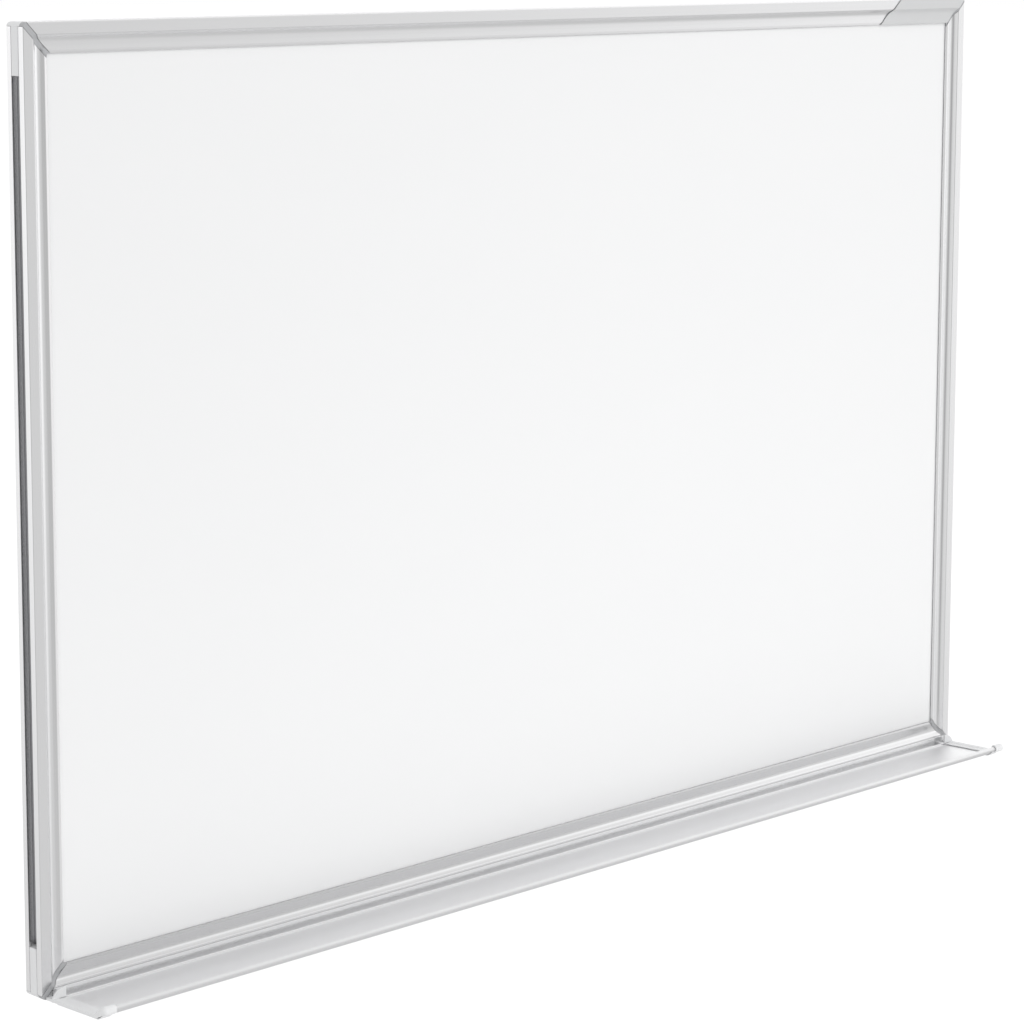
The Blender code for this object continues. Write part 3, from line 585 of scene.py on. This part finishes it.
def rounded_ends(start, stop, radius, steps=5):
    """Where the rings of a prism lie and how far each shrinks, so that both ends are rounded.

    A quarter circle at each end: at angle a the ring is radius * (1 - cos a) in from the end and
    the outline is radius * (1 - sin a) smaller.
    """
    angle = np.linspace(0, np.pi / 2, steps)
    inset, shrink = radius * (1 - np.cos(angle)), radius * (1 - np.sin(angle))
    direction = np.sign(stop - start)
    along = np.concatenate([start + direction * inset, stop - direction * inset[::-1]])
    return along, np.concatenate([shrink, shrink[::-1]])


def prism(outline, start, stop, radius=0.0):
    """Points and faces of an outline (depth, height) carried along X from start to stop."""
    along, shrink = np.array([start, stop], float), np.zeros(2)
    if radius:
        along, shrink = rounded_ends(start, stop, radius)
    rings = [grown(outline, -amount) if amount else outline for amount in shrink]
    points = [np.column_stack([np.full(len(ring), x), ring]) for x, ring in zip(along, rings)]
    return np.concatenate(points), tube_faces(len(along), len(outline))


def turned(profile, around=48):
    """Points and faces of a profile (distance along the axis, radius) turned round X.

    The profile starts and ends on the axis, where a ring would have no size, so both poles are
    single points with a fan of triangles.
    """
    angle = np.linspace(0, 2 * np.pi, around, endpoint=False)
    along, radius = profile[1:-1, :1], profile[1:-1, 1:]
    along_all = np.broadcast_to(along, (len(along), around))
    rings = np.stack([along_all, radius * np.cos(angle), radius * np.sin(angle)], axis=-1)
    rings = rings.reshape(-1, 3)
    poles = np.array([(profile[0, 0], 0, 0), (profile[-1, 0], 0, 0)])
    faces = tube_faces(len(along), around, closed_ends=False)
    near, far = np.arange(around), (np.arange(around) + 1) % around
    first, last = len(rings), len(rings) + 1
    end = (len(along) - 1) * around
    faces += np.column_stack([np.full(around, first), far, near]).tolist()
    faces += np.column_stack([np.full(around, last), end + near, end + far]).tolist()
    return np.concatenate([rings, poles]), faces


def joined(*shells):
    """Several shells as one set of points and faces."""
    points, faces, offset = [], [], 0
    for shell_points, shell_faces in shells:
        points.append(shell_points)
        faces += [[index + offset for index in face] for face in shell_faces]
        offset += len(shell_points)
    return np.concatenate(points), faces


print("a tube of 3 rings with 4 points each has", len(tube_faces(3, 4)), "faces")

# %% [markdown]
# ## From shells to pieces
#
# A piece is a mesh object that rides on one body of the board and stands in for one solid. Smooth
# shading alone would bend the light over flat sides too, so edges over 35 degrees stay sharp and
# the normals are weighted by the size of the faces.

# %% Piece helpers
SHARP_ANGLE = math.radians(35)


def shade(piece):
    """Smooth shading that keeps flat sides flat and sharp edges sharp."""
    piece.data.shade_smooth()
    piece.data.set_sharp_from_angle(angle=SHARP_ANGLE)
    weighted = piece.modifiers.new("Flat sides", "WEIGHTED_NORMAL")
    weighted.keep_sharp = True
    return piece


def make_piece(name, points, faces, material):
    """A mesh object from points in metres. Its faces are turned outwards and shaded smooth."""
    mesh = bpy.data.meshes.new(name)
    mesh.from_pydata(points.tolist(), [], faces)
    sculpt = bmesh.new()
    sculpt.from_mesh(mesh)
    bmesh.ops.recalc_face_normals(sculpt, faces=sculpt.faces)
    sculpt.to_mesh(mesh)
    sculpt.free()
    mesh.materials.append(material)
    piece = bpy.data.objects.new(name, mesh)
    bpy.context.scene.collection.objects.link(piece)
    return shade(piece)


def stand_for(piece, node, body):
    """Put a piece in the place of a CAD node: it rides on the given body, and the node is hidden.
    """
    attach(piece, body)
    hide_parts(node)
    print(piece.name, "for", node, "on", body, "with", len(piece.data.polygons), "faces")
    return piece


# %% [markdown]
# ## Frame, corners and hangers with soft shading
#
# The extruded members, the moulded corners and the bent hangers have the right shape in the CAD
# model, but its meshes are loose triangles, which shade flat. A copy is merged, its flat sides
# become single faces, and smooth shading then rounds the cove, the crest and the edges. The
# hangers are stamped, so their copies also get a narrow bevel.

# %% Smooth copies of the solids
BODY_OF = {
    "frame": "board", "corner": "board", "label_plate": "board",
    "hanger_left": "hanger_l", "hanger_right": "hanger_r",
}
MERGE_DISTANCE = 0.000002
FLAT_ANGLE = math.radians(0.1)
STAMPED_EDGE = 0.00018
STAMPED_ANGLE = math.radians(60)


def add_stamped_edge(piece):
    bevel = piece.modifiers.new("Stamped edge", "BEVEL")
    bevel.width = STAMPED_EDGE
    bevel.segments = 2
    bevel.limit_method = "ANGLE"
    bevel.angle_limit = STAMPED_ANGLE


def smooth_copy(node_name):
    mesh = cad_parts[node_name].data.copy()
    sculpt = bmesh.new()
    sculpt.from_mesh(mesh)
    bmesh.ops.remove_doubles(sculpt, verts=sculpt.verts, dist=MERGE_DISTANCE)
    bmesh.ops.dissolve_limit(sculpt, angle_limit=FLAT_ANGLE, verts=sculpt.verts,
                             edges=sculpt.edges)
    sculpt.to_mesh(mesh)
    sculpt.free()
    piece = bpy.data.objects.new("smooth_" + node_name, mesh)
    bpy.context.scene.collection.objects.link(piece)
    if node_name.startswith("hanger"):
        add_stamped_edge(piece)
    shade(piece)
    return stand_for(piece, node_name, by_start(BODY_OF, node_name))


for name in sorted(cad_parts):
    if name.startswith(tuple(BODY_OF)):
        smooth_copy(name)

# %% [markdown]
# ## Pen tray
#
# The tray is one extrusion: a flange that stands against the frame, a gutter behind a small lip, a
# thin floor that rises a little and a rolled bead in front. Below the frame a plate carries the
# hook that clips into the groove. An outline carried along X makes it, with finer arcs than the
# solid has. The hook is shorter than the tray, because the corner arms fill the groove's ends, so
# it is a shell of its own, sunk a little into the plate. Each outline is given in depth from the
# frame's front face and in height from its bottom edge.

# %% Sizes of the tray
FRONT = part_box("frame_bottom")[0][1] / MM
BOTTOM = BOTTOM_EDGE / MM
TRAY_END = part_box("pen_tray")[1][0] / MM
CORNER_ARM_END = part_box("corner_bottom_right")[0][0] / MM
# The gap to the frame, the tray's wall and its small roundings
PLAY, SHEET, EDGE_RADIUS = 0.3, 1.2, 0.3
# The plate below the frame and the flange in front of it
PLATE_TOP, PLATE_REACH = -PLAY, 15.0
PLATE_BOTTOM = PLATE_TOP - SHEET
FLANGE_HEIGHT, FLANGE_ROOT, OVERHANG = 6.4, 0.6, 3.2
FLANGE_FRONT = -PLAY - SHEET
# From the flange to the front: the gutter, the lip, the floor and the bead
GUTTER, LIP, LIP_HEIGHT, LIP_RADIUS = 4.4, 1.3, 2.3, 0.4
LIP_REAR = FLANGE_FRONT - GUTTER
FLOOR_START = LIP_REAR - LIP
FLOOR_LENGTH, FLOOR_RISE, FLOOR_LOW, BEND_RADIUS = 42.5, 1.3, 0.8, 4.5
FLOOR_END, FLOOR_HIGH = FLOOR_START - FLOOR_LENGTH, FLOOR_LOW + FLOOR_RISE
FLOOR_UNDER = FLOOR_LOW - SHEET
BEAD, BEAD_RADIUS, BEAD_START, BEAD_TURN = (-56.0, 6.5), 1.8, 35, 250
# The hook and its barb, which hold the tray to the groove's front lip
HOOK_FRONT, HOOK_WALL, HOOK_RISE, HOOK_SUNK, HOOK_PLAY = 4.9, 1.4, 1.3, 0.2, 4.0
BARB, BARB_EDGE, BARB_UNDER = 1.5, 0.6, 2.3
print("the tray is", round(2 * TRAY_END, 1), "mm long and its floor", FLOOR_LENGTH, "mm deep")

# %% Pen tray
def bead_points(steps=41):
    """Points of the bead's arc as corners that stay sharp: (x, y, 0)."""
    angle = math.radians(BEAD_START) + math.radians(BEAD_TURN) * np.linspace(0, 1, steps)
    arc = np.array(BEAD) + BEAD_RADIUS * np.column_stack([np.cos(angle), np.sin(angle)])
    return [(x, y, 0) for x, y in arc]


def tray_front():
    """From the lip behind the floor, over the bead and back under the floor to the plate."""
    return [
        (LIP_REAR, LIP_HEIGHT, LIP_RADIUS),
        (FLOOR_START, LIP_HEIGHT, LIP_RADIUS),
        (FLOOR_START, FLOOR_LOW, EDGE_RADIUS),
        (FLOOR_END, FLOOR_HIGH, BEND_RADIUS),
        *bead_points(),
        (FLOOR_END - SHEET, FLOOR_HIGH - SHEET, BEND_RADIUS),
        (FLOOR_START + PLATE_BOTTOM - FLOOR_UNDER, FLOOR_UNDER, EDGE_RADIUS),
        (FLOOR_START, PLATE_BOTTOM, EDGE_RADIUS),
        (PLATE_REACH, PLATE_BOTTOM, EDGE_RADIUS),
        (PLATE_REACH, PLATE_TOP, EDGE_RADIUS),
    ]


def tray_flange():
    """The flange with its overhang, and the gutter's floor in front of it."""
    root = -PLAY - FLANGE_ROOT
    return [
        (-PLAY, PLATE_TOP, 0),
        (-PLAY, FLANGE_HEIGHT, EDGE_RADIUS),
        (FLANGE_FRONT, FLANGE_HEIGHT, EDGE_RADIUS),
        (FLANGE_FRONT, OVERHANG, EDGE_RADIUS),
        (root, OVERHANG, EDGE_RADIUS),
        (root, PLATE_TOP, EDGE_RADIUS),
        (LIP_REAR, PLATE_TOP, EDGE_RADIUS),
    ]


def tray_hook():
    """The hook behind the groove's front lip, with a barb whose lower side lies on the lip."""
    rear, foot, top = HOOK_FRONT + HOOK_WALL, PLATE_TOP - HOOK_SUNK, BARB_UNDER + HOOK_RISE
    return [
        (rear, foot, 0),
        (rear, top, EDGE_RADIUS),
        (HOOK_FRONT, top, EDGE_RADIUS),
        (HOOK_FRONT - BARB, BARB_UNDER + BARB_EDGE, 0),
        (HOOK_FRONT - BARB, BARB_UNDER, 0),
        (HOOK_FRONT, BARB_UNDER, 0),
        (HOOK_FRONT, foot, 0),
    ]


def make_tray():
    hook_end = CORNER_ARM_END - PLAY - HOOK_PLAY
    sheet = prism(rounded_outline(tray_flange() + tray_front()), -TRAY_END, TRAY_END)
    hook = prism(rounded_outline(tray_hook()), -hook_end, hook_end)
    points, faces = joined(sheet, hook)
    points = (points + (0, FRONT, BOTTOM)) * MM
    return make_piece("tray_extrusion", points, faces, aluminium_tray)


stand_for(make_tray(), "pen_tray", "tray")

# %% [markdown]
# ## End caps of the tray
#
# A moulded cap closes each end: a body beside the tray, a thin skin over and under its floor, a nub
# on the bead and a quarter-round ear behind. The nub is turned, with a hollow that takes the bead;
# the rest are outlines carried along X with rounded rims. The ear is carried along Y and is thin,
# so it stands like a fin. The pieces of a moulding run into each other. Each cap is worked out from
# its outer face inwards, and one of them is then mirrored.

# %% Sizes of the caps
CAP_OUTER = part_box("tray_cap_right")[1][0] / MM
# The closed body, the whole width, the skins' wall, what the body has more, and its rounded rims
CAP_BODY, CAP_WIDTH, CAP_WALL, CAP_SPREAD, CAP_RIM = 4.7, 10.5, 0.7, 0.1, 0.3
NUB_RADIUS, NUB_BORE, NUB_EDGE = 3.0, 2.1, 0.1
# The skins: their outer sides at the rear, and where they end, seen from the bead's centre
SKIN_TOP = FLOOR_LOW + PLAY + CAP_WALL
SKIN_UNDER = FLOOR_UNDER - PLAY - CAP_WALL
SKIN_RADIUS, SKIN_REAR = 0.2, (-7.5, -8.7)
UPPER_END, LOWER_END = (1.69, 1.23), (0.28, -1.97)
UPPER_SKIN, LOWER_SKIN = 0.65, 0.68
# The ear's height and its two faces
EAR_TOP, EAR_FRONT, EAR_REAR = 8.6, -7.2, -5.8
print("each cap reaches out to", round(CAP_OUTER, 1), "mm from the middle")

# %% Tray caps
def from_bead(x, y):
    return BEAD[0] + x, BEAD[1] + y


def cap_body():
    """The closed end: the tray's floor and bend with a little more all round, up to the nub."""
    reach = NUB_RADIUS / 2 + CAP_SPREAD
    top = SKIN_TOP + CAP_SPREAD
    outline = rounded_outline([
        (-PLAY, CAP_SPREAD, 0),
        (-PLAY, top, 0),
        (FLOOR_END, top + FLOOR_RISE, BEND_RADIUS),
        (*from_bead(NUB_RADIUS / 2, reach), 0),
        (*from_bead(-reach / 2, -reach), 0),
        (FLOOR_END - SHEET, CAP_SPREAD + FLOOR_RISE, BEND_RADIUS),
    ])
    return prism(outline, 0, CAP_BODY, CAP_RIM)


def cap_skins():
    """The skins over and under the tray's floor, a little off it."""
    reach = NUB_RADIUS / 2
    upper = rounded_outline([
        (SKIN_REAR[0], SKIN_TOP - CAP_WALL, 0),
        (SKIN_REAR[0], SKIN_TOP, SKIN_RADIUS),
        (FLOOR_END, SKIN_TOP + FLOOR_RISE, BEND_RADIUS),
        (*from_bead(reach, reach), 0),
        (*from_bead(*UPPER_END), 0),
        (FLOOR_END, SKIN_TOP + FLOOR_RISE - UPPER_SKIN, BEND_RADIUS),
    ])
    lower = rounded_outline([
        (SKIN_REAR[1], SKIN_UNDER + CAP_SPREAD, SKIN_RADIUS),
        (FLOOR_END - SHEET, SKIN_UNDER + FLOOR_RISE, BEND_RADIUS),
        (*from_bead(-reach / 2, -reach), 0),
        (*from_bead(*LOWER_END), 0),
        (FLOOR_END - SHEET, SKIN_UNDER + FLOOR_RISE + LOWER_SKIN, BEND_RADIUS),
        (SKIN_REAR[1], SKIN_UNDER + CAP_WALL, 0),
    ])
    return [prism(outline, CAP_BODY / 2, CAP_WIDTH) for outline in (upper, lower)]


def cap_nub():
    """A quarter circle from the pole to the side, a small rounding and the hollow, turned."""
    angle = np.linspace(0, np.pi / 2, 13)
    dome = NUB_RADIUS * np.column_stack([1 - np.cos(angle), np.sin(angle)])
    side_end, hollow_end = CAP_WIDTH - 2 * CAP_RIM, CAP_WIDTH - CAP_RIM
    rim = np.array([
        (side_end, NUB_RADIUS),
        (hollow_end - NUB_EDGE, NUB_RADIUS - NUB_EDGE),
        (hollow_end, NUB_RADIUS - CAP_RIM),
    ])
    hollow = np.array([(hollow_end, NUB_BORE), (CAP_BODY, NUB_BORE), (CAP_BODY, 0)])
    points, faces = turned(np.concatenate([dome, rim, hollow]))
    return points + (0, *BEAD), faces


def cap_ear():
    """A quarter of an ellipse that starts at the outer face and is highest at the inner one."""
    angle = np.linspace(0, np.pi / 2, 25)
    width = CAP_WIDTH - CAP_SPREAD
    curve = np.column_stack([width * (1 - np.cos(angle)), EAR_TOP * np.sin(angle)])
    points, faces = prism(np.concatenate([curve, [(width, 0)]]), EAR_REAR, EAR_FRONT, CAP_RIM)
    return points[:, [1, 0, 2]], faces


def make_cap(side, name):
    points, faces = joined(cap_body(), *cap_skins(), cap_nub(), cap_ear())
    points = points * (-side, 1, 1) + (side * CAP_OUTER, FRONT, BOTTOM)
    return make_piece("moulded_" + name, points * MM, faces, cap_plastic)


for side, name in ((-1, "tray_cap_left"), (1, "tray_cap_right")):
    stand_for(make_cap(side, name), name, "tray")

# %% [markdown]
# ## Screws
#
# Each corner arm is held by two countersunk screws from behind. A screw is a grid of rings: flat
# rings cross the head, cone rings go down to the shank, and then the radius follows a thread. Two
# masks press the cross recess into the head. Both are functions of the place, so no tool has to
# cut anything.

# %% Sizes of the screws
# The countersunk head, the shank with its thread, and the tip
HEAD_RADIUS, HEAD_HEIGHT = 2.7, 1.2
SHANK_RADIUS, CORE_RADIUS, PITCH = 1.45, 1.15, 1.0
SCREW_LENGTH, TIP, TIP_END, TIP_SIZE = 9.5, 1.5, 0.05, 0.04
RIDGE_WIDTH, THREAD_START, THREAD_RISE = 0.42, 0.4, 0.6
# The cross recess: the reach of its arms, half their width, the depth and the soft sides
RECESS_REACH, RECESS_HALF, RECESS_DEPTH = 1.55, 0.3, 0.9
RECESS_SOFT, RECESS_END = 0.12, 0.25
# Two rings round the head's rim, and the counts of rings and of points in a ring
RIM_DEPTHS, RIM_INSETS = (0.06, 0.16), (0.03, 0.12)
FACE_INSET = 0.1
HEAD_RINGS, SHANK_RINGS, AROUND = 24, 90, 64
TURN_STEP = 0.4
print("a screw is a grid of", HEAD_RINGS + SHANK_RINGS + len(RIM_DEPTHS), "by", AROUND, "points")

# %% Corner screws
def smooth_step(value):
    """0 below 0, 1 above 1, and between them 3 times the square less 2 times the cube."""
    value = np.clip(value, 0, 1)
    return value * value * (3 - 2 * value)


def threaded_shank(depth, angle):
    """The radius falls from its crest to the core and back once in a pitch, and the place of the
    crest moves on by a pitch in one turn round the screw. The tip tapers to a small end."""
    phase = (depth / PITCH - angle / (2 * np.pi)) % 1
    ridge = 1 - smooth_step(np.abs(phase - 0.5) / RIDGE_WIDTH)
    on_thread = smooth_step((depth - HEAD_HEIGHT - THREAD_START) / THREAD_RISE)
    taper = np.clip((SCREW_LENGTH - depth) / TIP, TIP_SIZE, 1)
    return (CORE_RADIUS + (SHANK_RADIUS - CORE_RADIUS) * (1 + (ridge - 1) * on_thread)) * taper


def cross_recess(across, up):
    """The depth of the recess: near either axis and not too far out, with soft sides."""
    near_axis = RECESS_HALF + RECESS_SOFT / 2 - np.minimum(abs(across), abs(up))
    within_reach = RECESS_REACH - np.maximum(abs(across), abs(up))
    narrow = smooth_step(near_axis / RECESS_SOFT)
    return RECESS_DEPTH * narrow * smooth_step(within_reach / RECESS_END)


def screw_points(turn):
    """Rings of the head's face, its rim and the shank times angles, turned round the axis."""
    angle = np.linspace(0, 2 * np.pi, AROUND, endpoint=False)
    face = np.linspace(FACE_INSET, HEAD_RADIUS - FACE_INSET, HEAD_RINGS)
    shank = np.linspace(HEAD_HEIGHT, SCREW_LENGTH - TIP_END, SHANK_RINGS)
    depth = np.concatenate([np.zeros(HEAD_RINGS), RIM_DEPTHS, shank])[:, None]
    head = np.concatenate([face, HEAD_RADIUS - np.array(RIM_INSETS), np.zeros(SHANK_RINGS)])
    in_shank = depth >= HEAD_HEIGHT
    radius = np.where(in_shank, threaded_shank(depth, angle), head[:, None])
    across, up = radius * np.cos(angle), radius * np.sin(angle)
    pressed = depth + np.where(depth > 0, 0, cross_recess(across, up))
    rotation = np.array([[math.cos(turn), -math.sin(turn)], [math.sin(turn), math.cos(turn)]])
    flat = np.stack([across, up], axis=-1) @ rotation
    return np.stack([flat[..., 0], -pressed, flat[..., 1]], axis=-1)


def make_screw(name, turn):
    low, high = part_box(name)
    spot = np.array([(low[0] + high[0]) / 2, high[1], (low[2] + high[2]) / 2])
    grid = screw_points(turn)
    points = grid.reshape(-1, 3) * MM + spot
    return make_piece("threaded_" + name, points, tube_faces(len(grid), AROUND), zinc_plating)


for number, name in enumerate(sorted(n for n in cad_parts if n.startswith("screw"))):
    stand_for(make_screw(name, TURN_STEP * number), name, "board")

# %% [markdown]
# ## The surroundings
#
# The background is plain white. The room that the satin metal mirrors is made up, so that its tones
# come near the photograph's: pale walls, brighter windows at both sides about level with the board,
# and a dimmer patch straight in front. The world gives the even light. What a camera or a clear
# surface sees is white, and what metal mirrors is that room. Each edge of it is soft, and the parts
# are added up. The bounds are cosines of the angle to the front, or heights from -1 below to 1
# above.

# %% World
ROOM_LIGHT = 0.84
STRAIGHT_AHEAD = Vector((0.05, -1.0, 0.0)).normalized()
MIRRORED_WALLS, LOW_WALLS_DIMMER, LOW_WALLS = 0.76, 0.08, (-0.55, -0.25)
MIRRORED_WINDOWS, WINDOW_FOOT, WINDOW_HEAD = 0.50, (-0.42, -0.04), (0.48, 0.80)
WINDOW_SIDE, BEHIND, BEHIND_DIMMER = (0.47, 0.87), (0.60, 0.95), 0.35
MIRRORED_FRONT, FRONT_PATCH = 0.31, (0.87, 0.99)
WHITE = (1, 1, 1, 1)


def rise(value, start, stop):
    """0 up to start, then up to 1 at stop along a smooth step."""
    span = {"Value": value, "From Min": start, "From Max": stop, "To Min": 0.0, "To Max": 1.0}
    return value.recipe.level("ShaderNodeMapRange", {"interpolation_type": "SMOOTHSTEP"}, span)


def seen_directly(recipe):
    """1 for what the camera sees, also through a clear surface."""
    path = recipe.add("ShaderNodeLightPath").outputs
    return Level(recipe, path["Is Camera Ray"]).above(Level(recipe, path["Is Transmission Ray"]))


def mirrored_room(recipe):
    """How bright the room is in each direction, as the metal mirrors it."""
    direction = recipe.add("ShaderNodeTexCoord").outputs["Generated"]
    facing = recipe.level("ShaderNodeVectorMath", {"operation": "DOT_PRODUCT"},
                          {0: direction, 1: STRAIGHT_AHEAD}, output=1)
    height = recipe.level("ShaderNodeSeparateXYZ", (), {"Vector": direction}, output=2)
    walls = MIRRORED_WALLS - (1 - rise(height, *LOW_WALLS)) * LOW_WALLS_DIMMER
    sideways = (1 - rise(facing, *WINDOW_SIDE)) * (1 - rise(facing * -1, *BEHIND) * BEHIND_DIMMER)
    window_height = rise(height, *WINDOW_FOOT) * (1 - rise(height, *WINDOW_HEAD))
    windows = sideways * window_height * MIRRORED_WINDOWS
    return walls + windows - rise(facing, *FRONT_PATCH) * MIRRORED_FRONT


def make_world():
    world = bpy.data.worlds.new("white_room")
    bpy.context.scene.world = world
    recipe = Recipe(world)
    glossy = recipe.level("ShaderNodeLightPath", output="Is Glossy Ray")
    seen = seen_directly(recipe)
    unseen = 1 - seen
    strength = seen + unseen * (glossy * mirrored_room(recipe) + (1 - glossy) * ROOM_LIGHT)
    background = recipe.add("ShaderNodeBackground", (), {"Color": WHITE, "Strength": strength})
    recipe.add("ShaderNodeOutputWorld", (), {"Surface": background.outputs[0]})
    return world


print("world:", make_world().name)

# %% [markdown]
# ## Floor
#
# The board hangs on a wall that isn't made, so the floor lies well below it. It is pale, keeps the
# board's soft shadow and runs out so far that no edge shows. The metal mirrors the world's own
# walls instead, so that its shade doesn't depend on how low the floor lies.

# %% Floor
FLOOR_HEIGHT = -0.42
FLOOR_REACH = 30.0
FLOOR_COLOUR = (0.90, 0.90, 0.90, 1)
FLOOR_LIFT = 0.27


def floor_finish():
    """A matt pale floor. What the camera sees of it is lifted to white, with its shadow kept."""
    material = bpy.data.materials.new("pale_floor")
    recipe = Recipe(material)
    matt = recipe.add("ShaderNodeBsdfDiffuse", (), {"Color": FLOOR_COLOUR})
    strength = seen_directly(recipe) * FLOOR_LIFT
    lift = recipe.add("ShaderNodeEmission", (), {"Color": WHITE, "Strength": strength})
    both = recipe.add("ShaderNodeAddShader", (), {0: matt.outputs[0], 1: lift.outputs[0]})
    recipe.add("ShaderNodeOutputMaterial", (), {"Surface": both.outputs[0]})
    return material


def make_floor():
    corners = FLOOR_REACH * np.array([(-1, -1), (1, -1), (1, 1), (-1, 1)])
    points = np.column_stack([corners, np.full(4, FLOOR_HEIGHT)])
    mesh = bpy.data.meshes.new("floor")
    mesh.from_pydata(points.tolist(), [], [(0, 1, 2, 3)])
    mesh.materials.append(floor_finish())
    floor = bpy.data.objects.new("floor", mesh)
    bpy.context.scene.collection.objects.link(floor)
    floor.visible_glossy = False
    return floor


print("floor:", make_floor().name)

# %% [markdown]
# ## Lamps
#
# One broad soft lamp, high on the right in front, gives the edges their direction. It is far enough
# away to light the whole board alike. A weak one, low in front, fills the lower part of the board,
# which the tray shades. Neither is mirrored, or it would burn a spot into the metal.

# %% Lamps
BOARD_MIDDLE = (0.0, 0.0, 0.2935)
BOARD_FOOT = (0.0, 0.0, 0.06)
KEY_PLACE, KEY_SIZE, KEY_POWER = (3.2, -4.2, 3.4), 2.6, 62.0
FILL_PLACE, FILL_SIZE, FILL_POWER = (0.1, -0.9, -0.25), 0.9, 1.9


def make_lamp(name, place, aim, size, power):
    """A round area lamp. It looks along its own -Z, which is turned towards the aim."""
    light = bpy.data.lights.new(name, "AREA")
    light.shape = "DISK"
    light.size = size
    light.energy = power
    lamp = bpy.data.objects.new(name, light)
    lamp.location = place
    lamp.rotation_euler = (Vector(aim) - Vector(place)).to_track_quat("-Z", "Y").to_euler()
    lamp.visible_glossy = False
    lamp.visible_camera = False
    bpy.context.scene.collection.objects.link(lamp)
    return lamp


lamps = [
    make_lamp("key_lamp", KEY_PLACE, BOARD_MIDDLE, KEY_SIZE, KEY_POWER),
    make_lamp("low_fill", FILL_PLACE, BOARD_FOOT, FILL_SIZE, FILL_POWER),
]
print("lamps:", {lamp.name: lamp.data.energy for lamp in lamps})

# %% [markdown]
# ## Camera
#
# The photograph was taken from the left, a little above the top edge, with a long lens. The board's
# upright edges run straight up in it, which would need a large shift. With the small one here they
# lean a little, and the frame's corners lie up to 10 pixels from the photograph's.

# %% Camera
CAMERA_PLACE = (-1.55063, -1.55703, 0.65451)
CAMERA_YAW, CAMERA_PITCH, CAMERA_ROLL = (math.radians(a) for a in (44.3201, 8.2924, 0.1292))
CAMERA_LENS = 111.0868
CAMERA_SHIFT = -0.13
CAMERA_REACH = 200.0


def make_camera():
    """The camera's axes from its yaw to the right of +Y, its pitch down and its roll."""
    ahead = Vector((math.sin(CAMERA_YAW) * math.cos(CAMERA_PITCH),
                    math.cos(CAMERA_YAW) * math.cos(CAMERA_PITCH),
                    -math.sin(CAMERA_PITCH)))
    level = Vector((math.cos(CAMERA_YAW), -math.sin(CAMERA_YAW), 0))
    upward = level.cross(ahead)
    right = level * math.cos(CAMERA_ROLL) + upward * math.sin(CAMERA_ROLL)
    up = upward * math.cos(CAMERA_ROLL) - level * math.sin(CAMERA_ROLL)
    rows = [(r, u, -a) for r, u, a in zip(right, up, ahead)]
    camera = bpy.data.objects.new("camera", bpy.data.cameras.new("camera"))
    camera.matrix_world = Matrix.Translation(CAMERA_PLACE) @ Matrix(rows).to_4x4()
    camera.data.lens = CAMERA_LENS
    camera.data.shift_y = CAMERA_SHIFT
    camera.data.clip_end = CAMERA_REACH
    bpy.context.scene.collection.objects.link(camera)
    bpy.context.scene.camera = camera
    return camera


print("camera:", tuple(round(v, 3) for v in make_camera().location))

# %% [markdown]
# ## The look of the picture
#
# The picture is shown without a film look.

# %% Finish
bpy.context.scene.view_settings.view_transform = "Standard"
